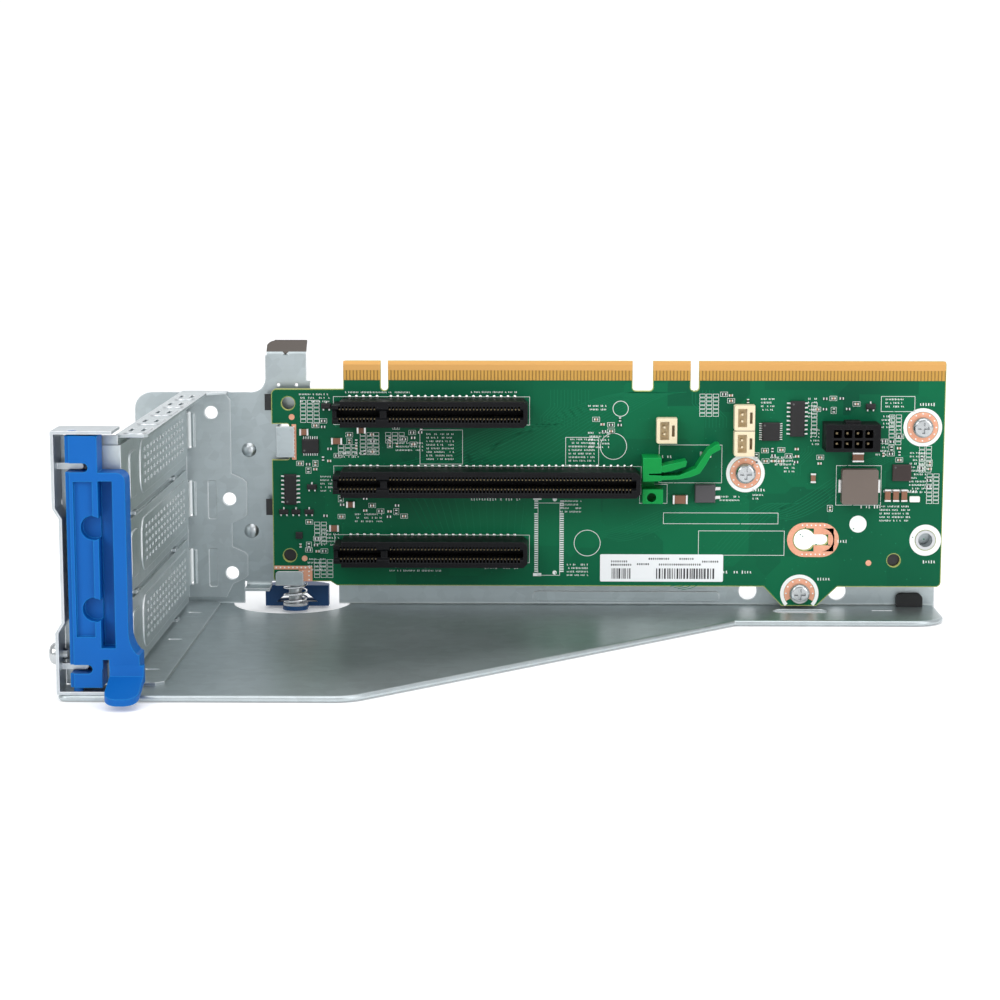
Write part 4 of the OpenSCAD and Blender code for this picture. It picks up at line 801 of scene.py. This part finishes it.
for name, chosen, colour in (("chip_resistors", dark, (0.02, 0.02, 0.022)), ("chip_capacitors", ~dark, (0.36, 0.2, 0.12))):
    x, z = spots[chosen].T
    finish, nodes, links, shader = new_finish(name + "_body", colour, 0.4)
    tree = finish.node_tree
    grain = add_group(tree, mould_grain, Scale=4000.0)
    add_relief(tree, shader, grain.outputs["Height"], 0.1, 0.00002, 0.00008)
    body_high = high[chosen] * np.where(flat[chosen], 1, body_share)
    sheet_piece(name, *bricks(x, z, wide[chosen] * body_share, body_high, 0.0, body_top), finish, "ceramic")
end_x = np.concatenate([spots[:, 0] + s * np.where(flat, long_side / 2 - end_inset, 0) for s in (-1, 1)])
end_z = np.concatenate([spots[:, 1] + s * np.where(flat, 0, long_side / 2 - end_inset) for s in (-1, 1)])
end_w = np.tile(np.where(flat, 0.3, short_side + 0.06), 2)
end_h = np.tile(np.where(flat, short_side + 0.06, 0.3), 2)
sheet_piece("tinned_ends", *bricks(end_x, end_z, end_w, end_h, 0.0, end_top), solder, "tin")
sheet_piece("part_outlines", *frames(spots[::2, 0], spots[::2, 1], wide[::2] + 0.9, high[::2] + 0.7, 0.1, ink_lift), ink,
            "label_white")

# ---------------------------------------------------------------- Card edge and contacts
# Hard gold on nickel: the card edge's fingers on both faces, and the blades inside the slots and socket.
gold = plated("hard_gold", (0.6, 0.34, 0.085), 0.3)
dress("edge_contacts", gold)
for node in ("lower_slot_contacts", "middle_slot_contacts", "upper_slot_contacts", "power_header_pins"):
    dress(node, plated("blade_gold", (0.3, 0.24, 0.14), 0.4))

# ---------------------------------------------------------------- Card slots and power socket
# Housings moulded in a black glass-filled plastic, nearly matte, with greyer corners that are partly rubbed wear and
# partly painted highlight.
slot_black = moulded("slot_plastic", (0.006, 0.006, 0.007), (0.03, 0.03, 0.033), 0.42, 1800.0, 0.25, 2.0, 0.2,
                     shine=0.12)
for node in ("lower_slot", "middle_slot", "upper_slot", "power_header"):
    dress(node, slot_black)

# ---------------------------------------------------------------- Card clip
# A springy green moulding behind the middle slot, its edges painted a paler green, a painted glow that stands in for
# light through its thin arms.
dress("card_clip", moulded("clip_green", (0.002, 0.26, 0.05), (0.01, 0.42, 0.11), 0.38, shine=0.15))

# ---------------------------------------------------------------- Small headers
# Cream housings for flat cables, moulded in an unpainted nylon.
cream = moulded("cream_nylon", (0.78, 0.66, 0.45), (0.86, 0.78, 0.6), 0.45)
for number in (1, 2, 3):
    dress(f"ribbon_header_{number}", cream)

# ---------------------------------------------------------------- Chips, inductor and passives
# Black epoxy bodies with satin tops and tinned leads, a pressed grey-brown inductor between silver
# terminals, brown ceramic capacitors with tinned ends, and one small white lamp.
epoxy = moulded("chip_epoxy", (0.016, 0.015, 0.016), (0.045, 0.043, 0.044), 0.5, 3000.0, 0.2, 2.0, 0.15)
for node in ("clock_chip", "logic_chip", "switch_chip", "monitor_chip", "small_transistors"):
    dress(node, epoxy)
dress("converter_chip", moulded("converter_epoxy", (0.035, 0.024, 0.022), (0.09, 0.07, 0.065), 0.4, 3000.0))
dress("power_transistor", moulded("transistor_epoxy", (0.075, 0.07, 0.075), (0.12, 0.12, 0.125), 0.5, 3000.0))
dress("inductor", moulded("pressed_powder", (0.15, 0.12, 0.103), (0.23, 0.19, 0.17), 0.6, 1400.0, 0.5))
tin_plate = plated("tin_plate", (0.74, 0.74, 0.73), 0.3)
for node in ("inductor_terminals", "chip_leads", "capacitor_ends"):
    dress(node, tin_plate)
dress("ceramic_capacitors", moulded("fired_ceramic", (0.24, 0.11, 0.065), (0.32, 0.18, 0.12), 0.4, 3000.0))
dress("status_led", moulded("lamp_white", (0.8, 0.82, 0.76), (0.86, 0.88, 0.84), 0.35))
dots = [(30.3, 33.2), (35.4, 48.2), (177.2, 62.0), (169.0, 55.8), (207.1, 43.6)]
sheet_piece("chip_dots", *gather([ring(x, z, 0, 0.3, lift, 16) for (x, z), lift in zip(
    dots, (0.00163, 0.00113, 0.00163, 0.00113, 0.00103))]),
    moulded("chip_dot_grey", (0.1, 0.1, 0.1), (0.1, 0.1, 0.1), 0.6), "chip_black")

# ---------------------------------------------------------------- Insulating film and bumper
# Black polyester film behind the board, with soft waves in its sheen, and a small black rubber stop.
film, nodes, links, shader = new_finish("polyester_film", (0.012, 0.012, 0.014), 0.3)
tree = film.node_tree
wave = put(tree, "TexNoise", Scale=60.0, Detail=2.0)
links.new(put(tree, "TexCoord").outputs["Object"], wave.inputs["Vector"])
add_relief(tree, shader, wave.outputs["Fac"], 0.15, 0.0002, 0.0001)
dress("insulator_film", film)
dress("corner_bumper", moulded("bumper_rubber", (0.014, 0.014, 0.015), (0.04, 0.04, 0.042), 0.6, 1600.0, 0.3))

# ---------------------------------------------------------------- Stock label
# A white paper label with plain bars and short dashes, printed in black and grey.
paper_white, nodes, links, shader = new_finish("label_paper", (0.83, 0.84, 0.85), 0.6)
tree = paper_white.node_tree
fibre = put(tree, "TexNoise", Scale=1200.0, Detail=3.0)
links.new(put(tree, "TexCoord").outputs["Object"], fibre.inputs["Vector"])
add_relief(tree, shader, fibre.outputs["Fac"], 0.1, 0.00003, 0.0001)
dress("board_label", paper_white)
label_ink, nodes, links, shader = new_finish("label_ink", (0.02, 0.02, 0.025), 0.5)
tree = label_ink.node_tree
grain = put(tree, "TexNoise", Scale=2000.0)
links.new(put(tree, "TexCoord").outputs["Object"], grain.inputs["Vector"])
links.new(grain.outputs["Fac"], shader.inputs["Roughness"])
label_lift = 0.00014
bars = []
for x0, x1 in ((124.6, 131.0), (137.6, 155.6)):
    widths = rng.choice([0.22, 0.34, 0.5], 90)
    edges = x0 + np.cumsum(widths + rng.choice([0.2, 0.3, 0.42], 90))
    widths, edges = widths[edges < x1], edges[edges < x1]
    bars.append(box_marks(edges - widths / 2, 12.0, widths, 3.1, label_lift))
dashes = [(125, 131, 14.6), (125, 129.6, 15.6), (132.6, 136, 14.8), (139, 151, 14.7),
          (136, 142, 16.4), (145, 149, 16.4), (151.6, 156, 15.6)]
for x0, x1, z in dashes:
    x = np.arange(x0, x1, 0.62)
    bars.append(box_marks(x, z, 0.26 + 0.16 * rng.random(x.size), 0.55, label_lift))
sheet_piece("label_print", *gather(bars), label_ink, "black_film")

# ---------------------------------------------------------------- Sizes and finish
low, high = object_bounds()
